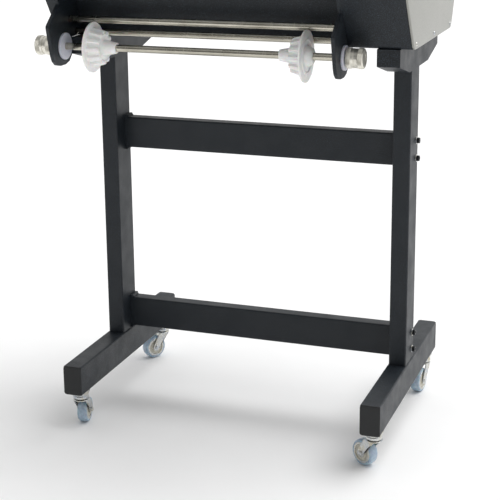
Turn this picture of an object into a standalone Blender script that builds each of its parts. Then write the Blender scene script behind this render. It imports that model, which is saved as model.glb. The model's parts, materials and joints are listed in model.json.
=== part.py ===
"""A 650 mm cold roll laminator on a wheeled stand, in metres: +X to its right, +Y to its back, +Z up.

The stand is two feet with uprights and top arms, tied by two crossbars. The head sits on the arms:
two side plates hold a driven lower roller, an upper roller that two pressure wheels lift, a tilting
feed table, a film supply shaft on top and a film take-up shaft low in front.
"""

import math

import bmesh
import bpy
from mathutils import Matrix, Vector

# ---- driving dimensions (metres) ----
GAP = 0.0003  # between neighbours that touch
SHEET = 0.003  # covers and panels

SPAN = 0.640  # between the side plates
HEAD_OFFSET = -0.0605  # middle of the span, left of the stand's middle, to make room for the drive
PLATE = 0.008  # side plate thickness
LEFT_COVER_DEPTH = 0.0217
DRIVE_DEPTH = 0.1364
END_PANEL = 0.005

STAND_MARGIN = 0.070  # how much further apart the uprights are than the side plates
CASTER_HEIGHT = 0.092
FOOT_WIDTH, FOOT_HEIGHT, FOOT_LENGTH = 0.045, 0.070, 0.566
CAP_FLANGE, CAP_PLUG = 0.003, 0.012
UPRIGHT_WIDTH, UPRIGHT_DEPTH, UPRIGHT_HEIGHT = 0.040, 0.077, 0.689
TUBE_WALL, TUBE_CORNER = 0.002, 0.003
ARM_WIDTH, ARM_HEIGHT, ARM_END_HEIGHT = 0.050, 0.061, 0.037
ARM_WAIST_FRONT, ARM_WAIST_REAR, ARM_REAR = -0.080, 0.100, 0.200
BAR_HEIGHT, BAR_DEPTH = 0.074, 0.034
BAR_PLATE, BAR_PLATE_LIP = 0.006, 0.005  # welded end plate, and how far it passes the bar
LOWER_BAR_LIFT = 0.001  # end plate above the foot
UPPER_BAR_DROP = 0.153  # bar top below the upright's top
BOLT_SPACING, BOLT_RADIUS, BOLT_HEAD_RADIUS, BOLT_HEAD = 0.041, 0.004, 0.0065, 0.008
WASHER_RADIUS, WASHER = 0.0085, 0.0015

WHEEL_RADIUS, WHEEL_WIDTH, WHEEL_SIDES = 0.030, 0.024, 20
TRAIL = 0.027  # caster wheel axle behind its swivel
CASTER_INSET = 0.042  # swivel from the end of the foot, cap included
AXLE_RADIUS, STEM_RADIUS, STEM_LENGTH = 0.003, 0.005, 0.024
TRAILS = {  # the way each caster's wheel trails from its swivel, in degrees from +X
    "left_front": 100.0,
    "right_front": 150.0,
    "left_rear": 235.0,
    "right_rear": 262.0,
}

SHAFT_RADIUS = 0.008  # film shafts and guide bars
ROLLER_RADIUS, JOURNAL_RADIUS = 0.030, 0.010
ROLLER_CLEAR = 0.010  # roller face to side plate
NIP_GAP = 0.0005
NIP_Y, NIP_HEIGHT = 0.020, 0.159  # nip line, above the head's base
LIFT = 0.020  # how far the upper roller rises
BLOCK_WIDTH, BLOCK_BELOW, BLOCK_ABOVE = 0.056, 0.025, 0.040
BLOCK_INNER, BLOCK_OUTER = 0.004, 0.016  # how far a block stands proud of its plate
SPINDLE_RADIUS, SPINDLE_OUT, SPINDLE_IN_BLOCK = 0.004, 0.009, 0.002
WHEEL_HUB_RADIUS, PRESSURE_RADIUS, PRESSURE_HUB, PRESSURE_RIM = 0.012, 0.030, 0.010, 0.016

FILM_Y, FILM_HEIGHT = -0.2035, -0.016  # lower film shaft, from the head's base
KNOB_RADIUS, KNOB_LENGTH = 0.022, 0.0375
LEFT_HUB, RIGHT_HUB = 0.0195, 0.0020  # black spacer between the ear's disc side and the knob
DISC, LEFT_DISC_RADIUS, RIGHT_DISC_RADIUS = 0.005, 0.030, 0.0265
COLLAR_RADIUS, COLLAR = 0.0105, 0.014
CHUCK_HUB, CHUCK_FLANGE, CHUCK_STEP, CHUCK_NOSE = 0.015, 0.004, 0.027, 0.029
CHUCK_RADIUS, CHUCK_HUB_RADIUS = 0.056, 0.023
LEFT_CHUCK_IN, RIGHT_CHUCK_IN = 0.055, 0.057  # chuck's hub end from its side plate
SUPPLY_Y, SUPPLY_DROP = 0.120, 0.027  # supply shaft, below the head's top

MODULE, PINION_TEETH, GEAR_TEETH, GEAR_WIDTH = 0.0025, 18, 36, 0.012
GEAR_OUT = 0.020  # gear's inner face from the right plate's outer face
DRIVE_ANGLE = math.radians(-20)  # from the lower roller to the motor
MOTOR_RADIUS, GEARBOX_RADIUS, MOTOR_LENGTH, GEARBOX_LENGTH = 0.032, 0.038, 0.056, 0.034

TABLE_HINGE_Y, TABLE_HINGE_DROP, TABLE_PIN = -0.250, 0.010, 0.004
TABLE_FRONT, TABLE_CLEAR = -0.262, 0.0065
PANEL_WIDTH, PANEL_LENGTH = 0.112, 0.118

# ---- the head's side outline, as (Y, height above the head's base) ----
HEAD_TOP = 0.319
NOSE_Y, TAIL_Y = -0.270, 0.275
BASE_FRONT, BASE_REAR = -0.169, 0.205
NOSE_LOW, NOSE_HIGH = 0.155, 0.209
TAIL_LOW, TAIL_HIGH = 0.129, 0.219
TOP_FRONT, TOP_REAR = -0.175, 0.185
HEAD_CORNER = 0.014

# ---- heights and widths that follow ----
ARM_FRONT = FILM_Y + LEFT_DISC_RADIUS + 0.0015
FOOT_TOP = CASTER_HEIGHT + FOOT_HEIGHT
UPRIGHT_LOW = FOOT_TOP + GAP
UPRIGHT_TOP = UPRIGHT_LOW + UPRIGHT_HEIGHT
ARM_LOW = UPRIGHT_TOP + GAP
ARM_TOP = ARM_LOW + ARM_HEIGHT
HEAD_BASE = ARM_TOP + GAP
HEAD_CEILING = HEAD_BASE + HEAD_TOP
STAND_HALF = (SPAN + STAND_MARGIN) / 2
INNER_LEFT = HEAD_OFFSET - SPAN / 2
INNER_RIGHT = HEAD_OFFSET + SPAN / 2
OUTER_LEFT = INNER_LEFT - PLATE
OUTER_RIGHT = INNER_RIGHT + PLATE
HEAD_LEFT = OUTER_LEFT - GAP - LEFT_COVER_DEPTH
DRIVE_RIGHT = OUTER_RIGHT + GAP + DRIVE_DEPTH
HEAD_RIGHT = DRIVE_RIGHT + GAP + END_PANEL
BAR_Y = UPRIGHT_DEPTH / 2 - BAR_DEPTH / 2
BAR_HALF = STAND_HALF - UPRIGHT_WIDTH / 2 - GAP
BAR_MIDDLES = {
    "lower": UPRIGHT_LOW + LOWER_BAR_LIFT + BAR_PLATE_LIP + BAR_HEIGHT / 2,
    "upper": UPRIGHT_TOP - UPPER_BAR_DROP - BAR_HEIGHT / 2,
}
NIP_Z = HEAD_BASE + NIP_HEIGHT
LOWER_AXIS_Z = NIP_Z - NIP_GAP / 2 - ROLLER_RADIUS
UPPER_AXIS_Z = NIP_Z + NIP_GAP / 2 + ROLLER_RADIUS
FILM_Z = HEAD_BASE + FILM_HEIGHT
SUPPLY_Z = HEAD_CEILING - SUPPLY_DROP
LEFT_KNOB_END = OUTER_LEFT - GAP - LEFT_HUB - GAP - KNOB_LENGTH
CENTRE_X = (LEFT_KNOB_END + HEAD_RIGHT) / 2  # middle of the whole width
GUIDE_BARS = {"lower_guide_bar": (-0.140, 0.0100), "upper_guide_bar": (-0.172, 0.0415)}
GUIDE_END_RADIUS = 0.005

FINISHES = {  # linear colour, roughness, metallic
    "powder_coat": ((0.018, 0.021, 0.025), 0.55, 0.0),
    "black_plastic": ((0.010, 0.011, 0.012), 0.45, 0.0),
    "grey_panel": ((0.42, 0.42, 0.38), 0.50, 0.0),
    "polished_steel": ((0.55, 0.54, 0.50), 0.22, 1.0),
    "zinc": ((0.50, 0.51, 0.52), 0.35, 1.0),
    "white_plastic": ((0.80, 0.80, 0.79), 0.40, 0.0),
    "champagne_knob": ((0.55, 0.55, 0.48), 0.35, 0.6),
    "silicone_rubber": ((0.30, 0.05, 0.03), 0.60, 0.0),
    "polyurethane": ((0.20, 0.32, 0.52), 0.35, 0.0),
    "red_plastic": ((0.55, 0.02, 0.015), 0.35, 0.0),
    "satin_aluminium": ((0.60, 0.61, 0.62), 0.40, 1.0),
}


# ---- scene helpers ----
def clear_scene():
    for obj in list(bpy.data.objects):
        bpy.data.objects.remove(obj, do_unlink=True)


def give_finish(obj, finish):
    colour, roughness, metallic = FINISHES[finish]
    material = bpy.data.materials.new(f"{obj.name}_{finish}")
    material.use_nodes = True
    shader = material.node_tree.nodes["Principled BSDF"]
    shader.inputs["Base Color"].default_value = (*colour, 1.0)
    shader.inputs["Roughness"].default_value = roughness
    shader.inputs["Metallic"].default_value = metallic
    material.diffuse_color = (*colour, 1.0)
    obj.data.materials.clear()
    obj.data.materials.append(material)


def add_object(name, bm, location=(0, 0, 0)):
    bmesh.ops.recalc_face_normals(bm, faces=bm.faces)
    if bm.calc_volume(signed=True) < 0:
        bmesh.ops.reverse_faces(bm, faces=bm.faces)
    mesh = bpy.data.meshes.new(name)
    bm.to_mesh(mesh)
    bm.free()
    mesh.shade_smooth()
    mesh.set_sharp_from_angle(angle=math.radians(35))
    obj = bpy.data.objects.new(name, mesh)
    bpy.context.scene.collection.objects.link(obj)
    obj.location = location
    return obj


def finished(name, bm, finish, location=(0, 0, 0)):
    obj = add_object(name, bm, location)
    give_finish(obj, finish)
    return obj


def combine(obj, tools, operation):
    """Adds or cuts each tool shape, given as a bmesh in the object's own space."""
    for tool in tools:
        helper = add_object("helper", tool)
        helper.matrix_world = obj.matrix_world = Matrix.Identity(4)
        modifier = obj.modifiers.new("shape", "BOOLEAN")
        modifier.operation = operation
        modifier.object = helper
        bpy.context.view_layer.update()
        graph = bpy.context.evaluated_depsgraph_get()
        mesh = bpy.data.meshes.new_from_object(obj.evaluated_get(graph))
        mesh.name = obj.name
        obj.modifiers.clear()
        obj.data = mesh
        bpy.data.objects.remove(helper, do_unlink=True)


def built(name, base, finish, location=(0, 0, 0), add=(), cut=()):
    """One object from a base shape, with shapes added to it and then shapes cut from it."""
    obj = add_object(name, base)
    combine(obj, add, "UNION")
    combine(obj, cut, "DIFFERENCE")
    obj.location = location
    give_finish(obj, finish)
    return obj


# ---- outlines: lists of (u, v) points ----
def circle(u, v, radius, sides=16):
    turns = [2 * math.pi * (i + 0.5) / sides for i in range(sides)]
    return [(u + radius * math.cos(a), v + radius * math.sin(a)) for a in turns]


def rectangle(u0, v0, u1, v1):
    return [(u0, v0), (u1, v0), (u1, v1), (u0, v1)]


def rounded(corners, radii, steps=3):
    """Straight lines between the corners, each corner turned into an arc of its own radius."""
    if not isinstance(radii, (list, tuple)):
        radii = [radii] * len(corners)
    outline = []
    for i, radius in enumerate(radii):
        corner = Vector(corners[i])
        before = (Vector(corners[i - 1]) - corner).normalized()
        after = (Vector(corners[(i + 1) % len(corners)]) - corner).normalized()
        if radius == 0:
            outline.append(tuple(corner))
            continue
        half = before.angle(after) / 2
        centre = corner + (before + after).normalized() * radius / math.sin(half)
        first = corner + before * radius / math.tan(half) - centre
        last = corner + after * radius / math.tan(half) - centre
        for step in range(steps + 1):
            ray = first.lerp(last, step / steps) if half > 1.4 else first.slerp(last, step / steps)
            outline.append(tuple(centre + ray.normalized() * radius))
    return outline


def inset(corners, distance):
    """A convex outline's corners moved inwards, so that each side moves by the distance."""
    area = sum(
        corners[i - 1][0] * corners[i][1] - corners[i][0] * corners[i - 1][1]
        for i in range(len(corners))
    )
    turn = math.copysign(1, area)
    moved = []
    for i, corner in enumerate(corners):
        corner = Vector(corner)
        before = (corner - Vector(corners[i - 1])).normalized()
        after = (Vector(corners[(i + 1) % len(corners)]) - corner).normalized()
        normals = [Vector((-side.y, side.x)) * turn for side in (before, after)]
        middle = (normals[0] + normals[1]).normalized()
        moved.append(tuple(corner + middle * distance / middle.dot(normals[0])))
    return moved


def folded(points, thickness):
    """A folded sheet's section: the line through the points, thickened to its left."""
    offset = []
    for i, point in enumerate(points):
        point = Vector(point)
        before = (point - Vector(points[i - 1])).normalized() if i else None
        after = (Vector(points[i + 1]) - point).normalized() if i + 1 < len(points) else None
        normals = [Vector((-side.y, side.x)) for side in (before, after) if side]
        middle = sum(normals, Vector((0, 0))).normalized()
        offset.append(tuple(point + middle * thickness / middle.dot(normals[0])))
    return list(points) + offset[::-1]


# ---- solids, as bmeshes ----
def prism(loops, low, high, axis="X"):
    """The first loop extruded along the axis, with the other loops as holes through it.

    The plane's (u, v) are (Y, Z) for X, (X, Z) for Y and (X, Y) for Z.
    """
    put = {
        "X": lambda u, v, w: (w, u, v),
        "Y": lambda u, v, w: (u, w, v),
        "Z": lambda u, v, w: (u, v, w),
    }[axis]
    bm = bmesh.new()
    rims = []
    for level in (low, high):
        rings = [[bm.verts.new(put(u, v, level)) for u, v in loop] for loop in loops]
        if len(rings) == 1:
            bm.faces.new(rings[0])
        else:
            edges = [bm.edges.new((ring[i - 1], ring[i])) for ring in rings for i in range(len(ring))]
            bmesh.ops.triangle_fill(bm, use_beauty=True, edges=edges)
        rims.append(rings)
    for lower, upper in zip(*rims):
        for i in range(len(lower)):
            bm.faces.new((lower[i - 1], lower[i], upper[i], upper[i - 1]))
    return bm


def block(low, high):
    return prism([rectangle(low[0], low[1], high[0], high[1])], low[2], high[2], "Z")


def turned(profile, axis="X", centre=(0, 0, 0), sides=16, bored=False):
    """(distance along the axis, radius) points spun about it; a bored profile is a closed ring."""
    bm = bmesh.new()
    verts = [bm.verts.new((radius, 0, along)) for along, radius in profile]
    first = 0 if bored else 1
    edges = [bm.edges.new((verts[i - 1], verts[i])) for i in range(first, len(verts))]
    bmesh.ops.rotate(bm, verts=verts, matrix=Matrix.Rotation(math.pi / sides, 3, "Z"))
    bmesh.ops.spin(
        bm, geom=verts + edges, cent=(0, 0, 0), axis=(0, 0, 1), dvec=(0, 0, 0),
        angle=2 * math.pi, steps=sides, use_merge=True,
    )
    bmesh.ops.remove_doubles(bm, verts=bm.verts, dist=1e-6)
    if axis == "X":
        bm.transform(Matrix(((0, 0, 1, 0), (1, 0, 0, 0), (0, 1, 0, 0), (0, 0, 0, 1))))
    elif axis == "Y":
        bm.transform(Matrix(((0, 1, 0, 0), (0, 0, 1, 0), (1, 0, 0, 0), (0, 0, 0, 1))))
    bm.transform(Matrix.Translation(centre))
    return bm


def rod(low, high, radius, axis="X", centre=(0, 0, 0), sides=16):
    return turned([(low, 0), (low, radius), (high, radius), (high, 0)], axis, centre, sides)


def box_tube(width, depth, low, high, axis, centre):
    """A square-section tube with rounded corners, open at both ends."""
    u, v = centre
    corners = rectangle(u - width / 2, v - depth / 2, u + width / 2, v + depth / 2)
    inner = rounded(inset(corners, TUBE_WALL), TUBE_CORNER - TUBE_WALL, 1)
    return prism([rounded(corners, TUBE_CORNER, 2), inner], low, high, axis)


# ---- stand ----
def make_feet():
    tube_half = FOOT_LENGTH / 2
    swivel_y = tube_half + CAP_FLANGE - CASTER_INSET
    for side, x in (("left", -STAND_HALF), ("right", STAND_HALF)):
        middle = CASTER_HEIGHT + FOOT_HEIGHT / 2
        tube = box_tube(FOOT_WIDTH, FOOT_HEIGHT, -tube_half, tube_half, "Y", (x, middle))
        holes = [
            rod(-TUBE_WALL, 2 * TUBE_WALL, STEM_RADIUS + GAP, "Z", (x, y, CASTER_HEIGHT), 12)
            for y in (-swivel_y, swivel_y)
        ]
        built(f"{side}_foot", tube, "powder_coat", cut=holes)
        for end, way in (("front", -1), ("rear", 1)):
            face = rectangle(
                x - FOOT_WIDTH / 2, CASTER_HEIGHT, x + FOOT_WIDTH / 2, CASTER_HEIGHT + FOOT_HEIGHT
            )
            inner = sorted((way * (tube_half + GAP), way * (tube_half + CAP_FLANGE)))
            plug = sorted((way * (tube_half - CAP_PLUG), way * (tube_half + CAP_FLANGE / 2)))
            plug_face = rounded(inset(face, TUBE_WALL + GAP), TUBE_CORNER - TUBE_WALL, 1)
            built(
                f"{side}_foot_{end}_cap",
                prism([rounded(face, 2 * TUBE_CORNER, 3)], *inner, "Y"),
                "black_plastic",
                add=[prism([plug_face], *plug, "Y")],
            )


def make_uprights():
    bolt_heights = [
        middle + step * BOLT_SPACING / 2 for middle in BAR_MIDDLES.values() for step in (-1, 1)
    ]
    for side, x in (("left", -STAND_HALF), ("right", STAND_HALF)):
        tube = box_tube(UPRIGHT_WIDTH, UPRIGHT_DEPTH, UPRIGHT_LOW, UPRIGHT_TOP, "Z", (x, 0))
        holes = []
        if side == "right":
            reach = UPRIGHT_WIDTH / 2 + TUBE_WALL
            holes = [
                rod(-reach, reach, BOLT_RADIUS + GAP, "X", (x, BAR_Y, z), 12) for z in bolt_heights
            ]
        built(f"{side}_upright", tube, "powder_coat", cut=holes)


def make_top_arms():
    outline = [
        (ARM_FRONT, ARM_TOP),
        (ARM_FRONT, ARM_TOP - ARM_END_HEIGHT),
        (ARM_WAIST_FRONT, ARM_LOW),
        (ARM_WAIST_REAR, ARM_LOW),
        (ARM_REAR, ARM_TOP - ARM_END_HEIGHT),
        (ARM_REAR, ARM_TOP),
    ]
    for side, x in (("left", -STAND_HALF), ("right", STAND_HALF)):
        half = ARM_WIDTH / 2
        hollow = prism([inset(outline, SHEET)], x - half + SHEET, x + half - SHEET)
        reach = UPRIGHT_WIDTH / 2 - TUBE_WALL - GAP
        depth = UPRIGHT_DEPTH / 2 - TUBE_WALL - GAP
        passage = block((x - reach, -depth, ARM_LOW - SHEET), (x + reach, depth, ARM_LOW + 2 * SHEET))
        built(
            f"{side}_top_arm",
            prism([outline], x - half, x + half),
            "powder_coat",
            cut=[hollow, passage],
        )


def make_crossbars():
    for level, middle in BAR_MIDDLES.items():
        ends = []
        for way in (-1, 1):
            face = rectangle(
                BAR_Y - BAR_DEPTH / 2,
                middle - BAR_HEIGHT / 2 - BAR_PLATE_LIP,
                BAR_Y + BAR_DEPTH / 2,
                middle + BAR_HEIGHT / 2 + BAR_PLATE_LIP,
            )
            bolt_holes = [
                circle(BAR_Y, middle + step * BOLT_SPACING / 2, BOLT_RADIUS + GAP, 12)
                for step in (-1, 1)
            ]
            span = sorted((way * BAR_HALF, way * (BAR_HALF - BAR_PLATE)))
            ends.append(prism([face, *bolt_holes], *span))
        reach = BAR_HALF - BAR_PLATE / 2
        bar_depth = BAR_DEPTH - 2 * GAP
        tube = box_tube(bar_depth, BAR_HEIGHT, -reach, reach, "X", (BAR_Y, middle))
        built(f"{level}_crossbar", tube, "powder_coat", add=ends)
        for place, step in (("bottom", -1), ("top", 1)):
            face = STAND_HALF + UPRIGHT_WIDTH / 2 + GAP
            tip = BAR_HALF - BAR_PLATE - 0.004
            profile = [
                (tip, 0),
                (tip, BOLT_RADIUS),
                (face, BOLT_RADIUS),
                (face, WASHER_RADIUS),
                (face + WASHER, WASHER_RADIUS),
                (face + WASHER, BOLT_HEAD_RADIUS),
                (face + WASHER + BOLT_HEAD, BOLT_HEAD_RADIUS),
                (face + WASHER + BOLT_HEAD, BOLT_HEAD_RADIUS / 2),
                (face + WASHER + BOLT_HEAD / 2, BOLT_HEAD_RADIUS / 2),
                (face + WASHER + BOLT_HEAD / 2, 0),
            ]
            centre = (0, BAR_Y, middle + step * BOLT_SPACING / 2)
            finished(f"{level}_crossbar_{place}_bolt", turned(profile, sides=12), "zinc", centre)


# ---- casters ----
def make_casters():
    crown_low, crown_high = WHEEL_RADIUS * 2 + 0.006, WHEEL_RADIUS * 2 + 0.0085
    plate_top = CASTER_HEIGHT - GAP
    pin = 0.004
    mount_profile = [
        (crown_low - 0.0025, 0),
        (crown_low - 0.0025, 0.0065),
        (crown_low - GAP, 0.0065),
        (crown_low - GAP, pin),
        (crown_high + GAP, pin),
        (crown_high + GAP, 0.0190),
        (plate_top - 0.004, 0.0190),
        (plate_top - 0.004, 0.0220),
        (plate_top, 0.0220),
        (plate_top, STEM_RADIUS),
        (plate_top + STEM_LENGTH, STEM_RADIUS),
        (plate_top + STEM_LENGTH, 0),
    ]
    half = WHEEL_WIDTH / 2
    rim = WHEEL_RADIUS / math.cos(math.pi / WHEEL_SIDES)  # so that a flat of the tread is on the floor
    bore = AXLE_RADIUS + 0.0004
    side_profile = [
        (half, bore),
        (half, 0.0120),
        (half - 0.0025, 0.0180),
        (half, 0.0245),
        (half - 0.0045, rim),
    ]
    wheel_profile = side_profile + [(-along, radius) for along, radius in side_profile[::-1]]
    leg_inner, leg_outer = half + 0.0013, half + 0.0037
    leg = rounded(
        [
            (-0.013, crown_high - 0.0005),
            (0.017, crown_high - 0.0005),
            (TRAIL + 0.011, WHEEL_RADIUS),
            (TRAIL, WHEEL_RADIUS - 0.010),
            (TRAIL - 0.011, WHEEL_RADIUS),
        ],
        [0, 0, 0.005, 0.005, 0.005],
        2,
    )
    crown = [(crown_low, pin + GAP), (crown_low, 0.019), (crown_high, 0.019), (crown_high, pin + GAP)]
    swivel_y = FOOT_LENGTH / 2 + CAP_FLANGE - CASTER_INSET
    for corner, trail_angle in TRAILS.items():
        x = STAND_HALF if corner.startswith("right") else -STAND_HALF
        y = swivel_y if corner.endswith("rear") else -swivel_y
        mount = turned(mount_profile, "Z", sides=12)
        finished(f"{corner}_caster_mount", mount, "zinc", (x, y, 0))
        fork = built(
            f"{corner}_caster_fork",
            turned(crown, "Z", sides=12, bored=True),
            "zinc",
            add=[
                prism([leg], leg_inner, leg_outer),
                prism([leg], -leg_outer, -leg_inner),
                rod(-leg_outer - 0.0015, leg_outer + 0.0015, AXLE_RADIUS, "X", (0, TRAIL, WHEEL_RADIUS), 12),
            ],
        )
        wheel = finished(
            f"{corner}_caster_wheel", turned(wheel_profile, sides=WHEEL_SIDES, bored=True), "polyurethane"
        )
        fork.location = (x, y, 0)
        fork.rotation_euler = (0, 0, math.radians(trail_angle - 90))
        wheel.parent = fork
        wheel.location = (0, TRAIL, WHEEL_RADIUS)


# ---- head frame ----
def head_corners():
    return [
        (BASE_FRONT, HEAD_BASE),
        (BASE_REAR, HEAD_BASE),
        (TAIL_Y, HEAD_BASE + TAIL_LOW),
        (TAIL_Y, HEAD_BASE + TAIL_HIGH),
        (TOP_REAR, HEAD_CEILING),
        (TOP_FRONT, HEAD_CEILING),
        (NOSE_Y, HEAD_BASE + NOSE_HIGH),
        (NOSE_Y, HEAD_BASE + NOSE_LOW),
    ]


def plate_outline():
    """The head's outline, with an open notch for the supply shaft and an ear for the film shaft."""
    corners = head_corners()
    notch, facets = SHAFT_RADIUS + GAP, 8  # as many facets as the shaft has on half its round
    arc = [
        (SUPPLY_Y + notch * math.cos(a), SUPPLY_Z + notch * math.sin(a))
        for a in (-math.pi * i / facets for i in range(facets + 1))
    ]
    notch_points = [(SUPPLY_Y + notch, HEAD_CEILING), *arc, (SUPPLY_Y - notch, HEAD_CEILING)]
    facet = (BASE_FRONT - NOSE_Y) / NOSE_LOW  # how far the lower facet goes back, per metre down
    root_z = FILM_Z + 0.095
    ear = [
        ((NOSE_Y + (HEAD_BASE + NOSE_LOW - root_z) * facet, root_z), 0.004),
        ((FILM_Y - 0.0715, FILM_Z + 0.052), 0.008),
        ((FILM_Y - 0.049, FILM_Z - 0.042), 0.036),
        ((FILM_Y + 0.041, FILM_Z - 0.042), 0.036),
        ((FILM_Y + 0.041, HEAD_BASE), 0),
    ]
    points = corners[1:5] + notch_points + corners[5:] + [point for point, _ in ear]
    radii = [HEAD_CORNER] * 4 + [0] * len(notch_points) + [HEAD_CORNER] * 3
    return rounded(points, radii + [radius for _, radius in ear], 3)


def make_side_plates():
    window_low = UPPER_AXIS_Z - BLOCK_BELOW - GAP
    window_high = UPPER_AXIS_Z + BLOCK_ABOVE + LIFT + 0.002
    window_half = BLOCK_WIDTH / 2 + GAP
    holes = [
        rectangle(NIP_Y - window_half, window_low, NIP_Y + window_half, window_high),
        circle(NIP_Y, LOWER_AXIS_Z, JOURNAL_RADIUS + GAP),
        circle(FILM_Y, FILM_Z, SHAFT_RADIUS + GAP),
        circle(TABLE_HINGE_Y, NIP_Z - TABLE_HINGE_DROP, TABLE_PIN + GAP, 16),
    ]
    for y, height in GUIDE_BARS.values():
        holes.append(circle(y, HEAD_BASE + height, GUIDE_END_RADIUS + GAP, 16))
    for side, low, high in (
        ("left", OUTER_LEFT, INNER_LEFT),
        ("right", INNER_RIGHT, OUTER_RIGHT),
    ):
        finished(f"{side}_side_plate", prism([plate_outline(), *holes], low, high), "powder_coat")


def make_covers():
    outline = rounded(head_corners(), HEAD_CORNER, 3)
    inner = rounded(inset(head_corners(), SHEET), HEAD_CORNER - SHEET, 2)
    left_open = OUTER_LEFT - GAP
    spindle_hole = SPINDLE_RADIUS + 2 * GAP
    hole_low, hole_high = HEAD_CEILING - 2 * SHEET, HEAD_CEILING + SHEET
    built(
        "left_end_cover",
        prism([outline], HEAD_LEFT, left_open),
        "powder_coat",
        cut=[
            prism([inner], HEAD_LEFT + SHEET, left_open + SHEET),
            rod(hole_low, hole_high, spindle_hole, "Z", (OUTER_LEFT - SPINDLE_OUT, NIP_Y, 0), 16),
        ],
    )
    x, y, z = inlet_place()
    rear_cuts = [
        block((x - 0.0148, y - 2 * SHEET, z - 0.0108), (x + 0.0148, y + SHEET, z + 0.0108)),
    ]
    x, y, z = main_switch_place()
    rear_cuts.append(block((x - 0.0067, y - 2 * SHEET, z - 0.0122), (x + 0.0067, y + SHEET, z + 0.0122)))
    window = block((-0.047, -0.050, -2 * SHEET), (0.047, 0.050, SHEET))
    window.transform(control_matrix())
    top_hole = rod(hole_low, hole_high, spindle_hole, "Z", (OUTER_RIGHT + SPINDLE_OUT, NIP_Y, 0), 16)
    built(
        "drive_housing",
        prism([outline, inner], OUTER_RIGHT + GAP, DRIVE_RIGHT),
        "powder_coat",
        cut=[window, top_hole, *rear_cuts],
    )
    finished("right_end_panel", prism([outline], DRIVE_RIGHT + GAP, HEAD_RIGHT), "grey_panel")


def make_belly_pan():
    """A folded sheet under the rollers: front wall, floor on the arms, and rear wall."""
    points = [
        (-0.150, HEAD_BASE + 0.132),
        (-0.118, HEAD_BASE),
        (BASE_REAR - 0.006, HEAD_BASE),
        (TAIL_Y - 0.016, HEAD_BASE + TAIL_LOW - 0.012),
    ]
    section = folded(points, SHEET)
    finished("belly_pan", prism([section], INNER_LEFT + GAP, INNER_RIGHT - GAP), "powder_coat")


def make_guide_bars():
    reach = PLATE * 0.75
    for name, (y, height) in GUIDE_BARS.items():
        low, high = INNER_LEFT + GAP, INNER_RIGHT - GAP
        profile = [
            (low - reach, 0),
            (low - reach, GUIDE_END_RADIUS),
            (low, GUIDE_END_RADIUS),
            (low, SHAFT_RADIUS),
            (high, SHAFT_RADIUS),
            (high, GUIDE_END_RADIUS),
            (high + reach, GUIDE_END_RADIUS),
            (high + reach, 0),
        ]
        finished(name, turned(profile), "polished_steel", (0, y, HEAD_BASE + height))


def make_feed_table():
    top = NIP_Z
    rear = NIP_Y - ROLLER_RADIUS - TABLE_CLEAR
    hinge_z = NIP_Z - TABLE_HINGE_DROP
    section = [
        (TABLE_FRONT, hinge_z - 0.006),
        (TABLE_FRONT, top),
        (rear, top),
        (rear, top - SHEET),
        (TABLE_HINGE_Y + 0.010, top - SHEET),
        (TABLE_HINGE_Y + 0.010, hinge_z - 0.006),
    ]
    section = [(y - TABLE_HINGE_Y, z - hinge_z) for y, z in section]
    low, high = INNER_LEFT + 0.0015, INNER_RIGHT - 0.0015
    reach = PLATE * 0.75
    built(
        "feed_table",
        prism([section], low, high),
        "satin_aluminium",
        (0, TABLE_HINGE_Y, hinge_z),
        add=[
            rod(INNER_LEFT - reach, low + reach, TABLE_PIN, sides=16),
            rod(high - reach, INNER_RIGHT + reach, TABLE_PIN, sides=16),
        ],
    )


# ---- rollers and pressure ----
def make_rollers():
    face_left, face_right = INNER_LEFT + ROLLER_CLEAR, INNER_RIGHT - ROLLER_CLEAR
    chamfer = 0.002
    gear_face = OUTER_RIGHT + GEAR_OUT + GEAR_WIDTH + 0.0005
    block_reach = PLATE + BLOCK_OUTER - 0.004
    for name, axis_z, left, right in (
        ("lower_roller", LOWER_AXIS_Z, OUTER_LEFT + 0.0005, gear_face),
        ("upper_roller", UPPER_AXIS_Z, INNER_LEFT - block_reach, INNER_RIGHT + block_reach),
    ):
        profile = [
            (left, 0),
            (left, JOURNAL_RADIUS),
            (face_left, JOURNAL_RADIUS),
            (face_left, ROLLER_RADIUS - chamfer),
            (face_left + chamfer, ROLLER_RADIUS),
            (face_right - chamfer, ROLLER_RADIUS),
            (face_right, ROLLER_RADIUS - chamfer),
            (face_right, JOURNAL_RADIUS),
            (right, JOURNAL_RADIUS),
            (right, 0),
        ]
        finished(name, turned(profile, sides=24), "silicone_rubber", (0, NIP_Y, axis_z))


def make_bearing_blocks():
    half = BLOCK_WIDTH / 2
    top = UPPER_AXIS_Z + BLOCK_ABOVE
    face = rectangle(NIP_Y - half, UPPER_AXIS_Z - BLOCK_BELOW, NIP_Y + half, top)
    bore = circle(NIP_Y, UPPER_AXIS_Z, JOURNAL_RADIUS + GAP)
    for side, low, high, spindle_x in (
        ("left", OUTER_LEFT - BLOCK_OUTER, INNER_LEFT + BLOCK_INNER, OUTER_LEFT - SPINDLE_OUT),
        ("right", INNER_RIGHT - BLOCK_INNER, OUTER_RIGHT + BLOCK_OUTER, OUTER_RIGHT + SPINDLE_OUT),
    ):
        depth = SPINDLE_IN_BLOCK + LIFT + 0.002
        nut_hole = rod(top - depth, top + 0.002, SPINDLE_RADIUS + GAP, "Z", (spindle_x, NIP_Y, 0), 16)
        built(f"{side}_bearing_block", prism([face, bore], low, high), "zinc", cut=[nut_hole])


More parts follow.
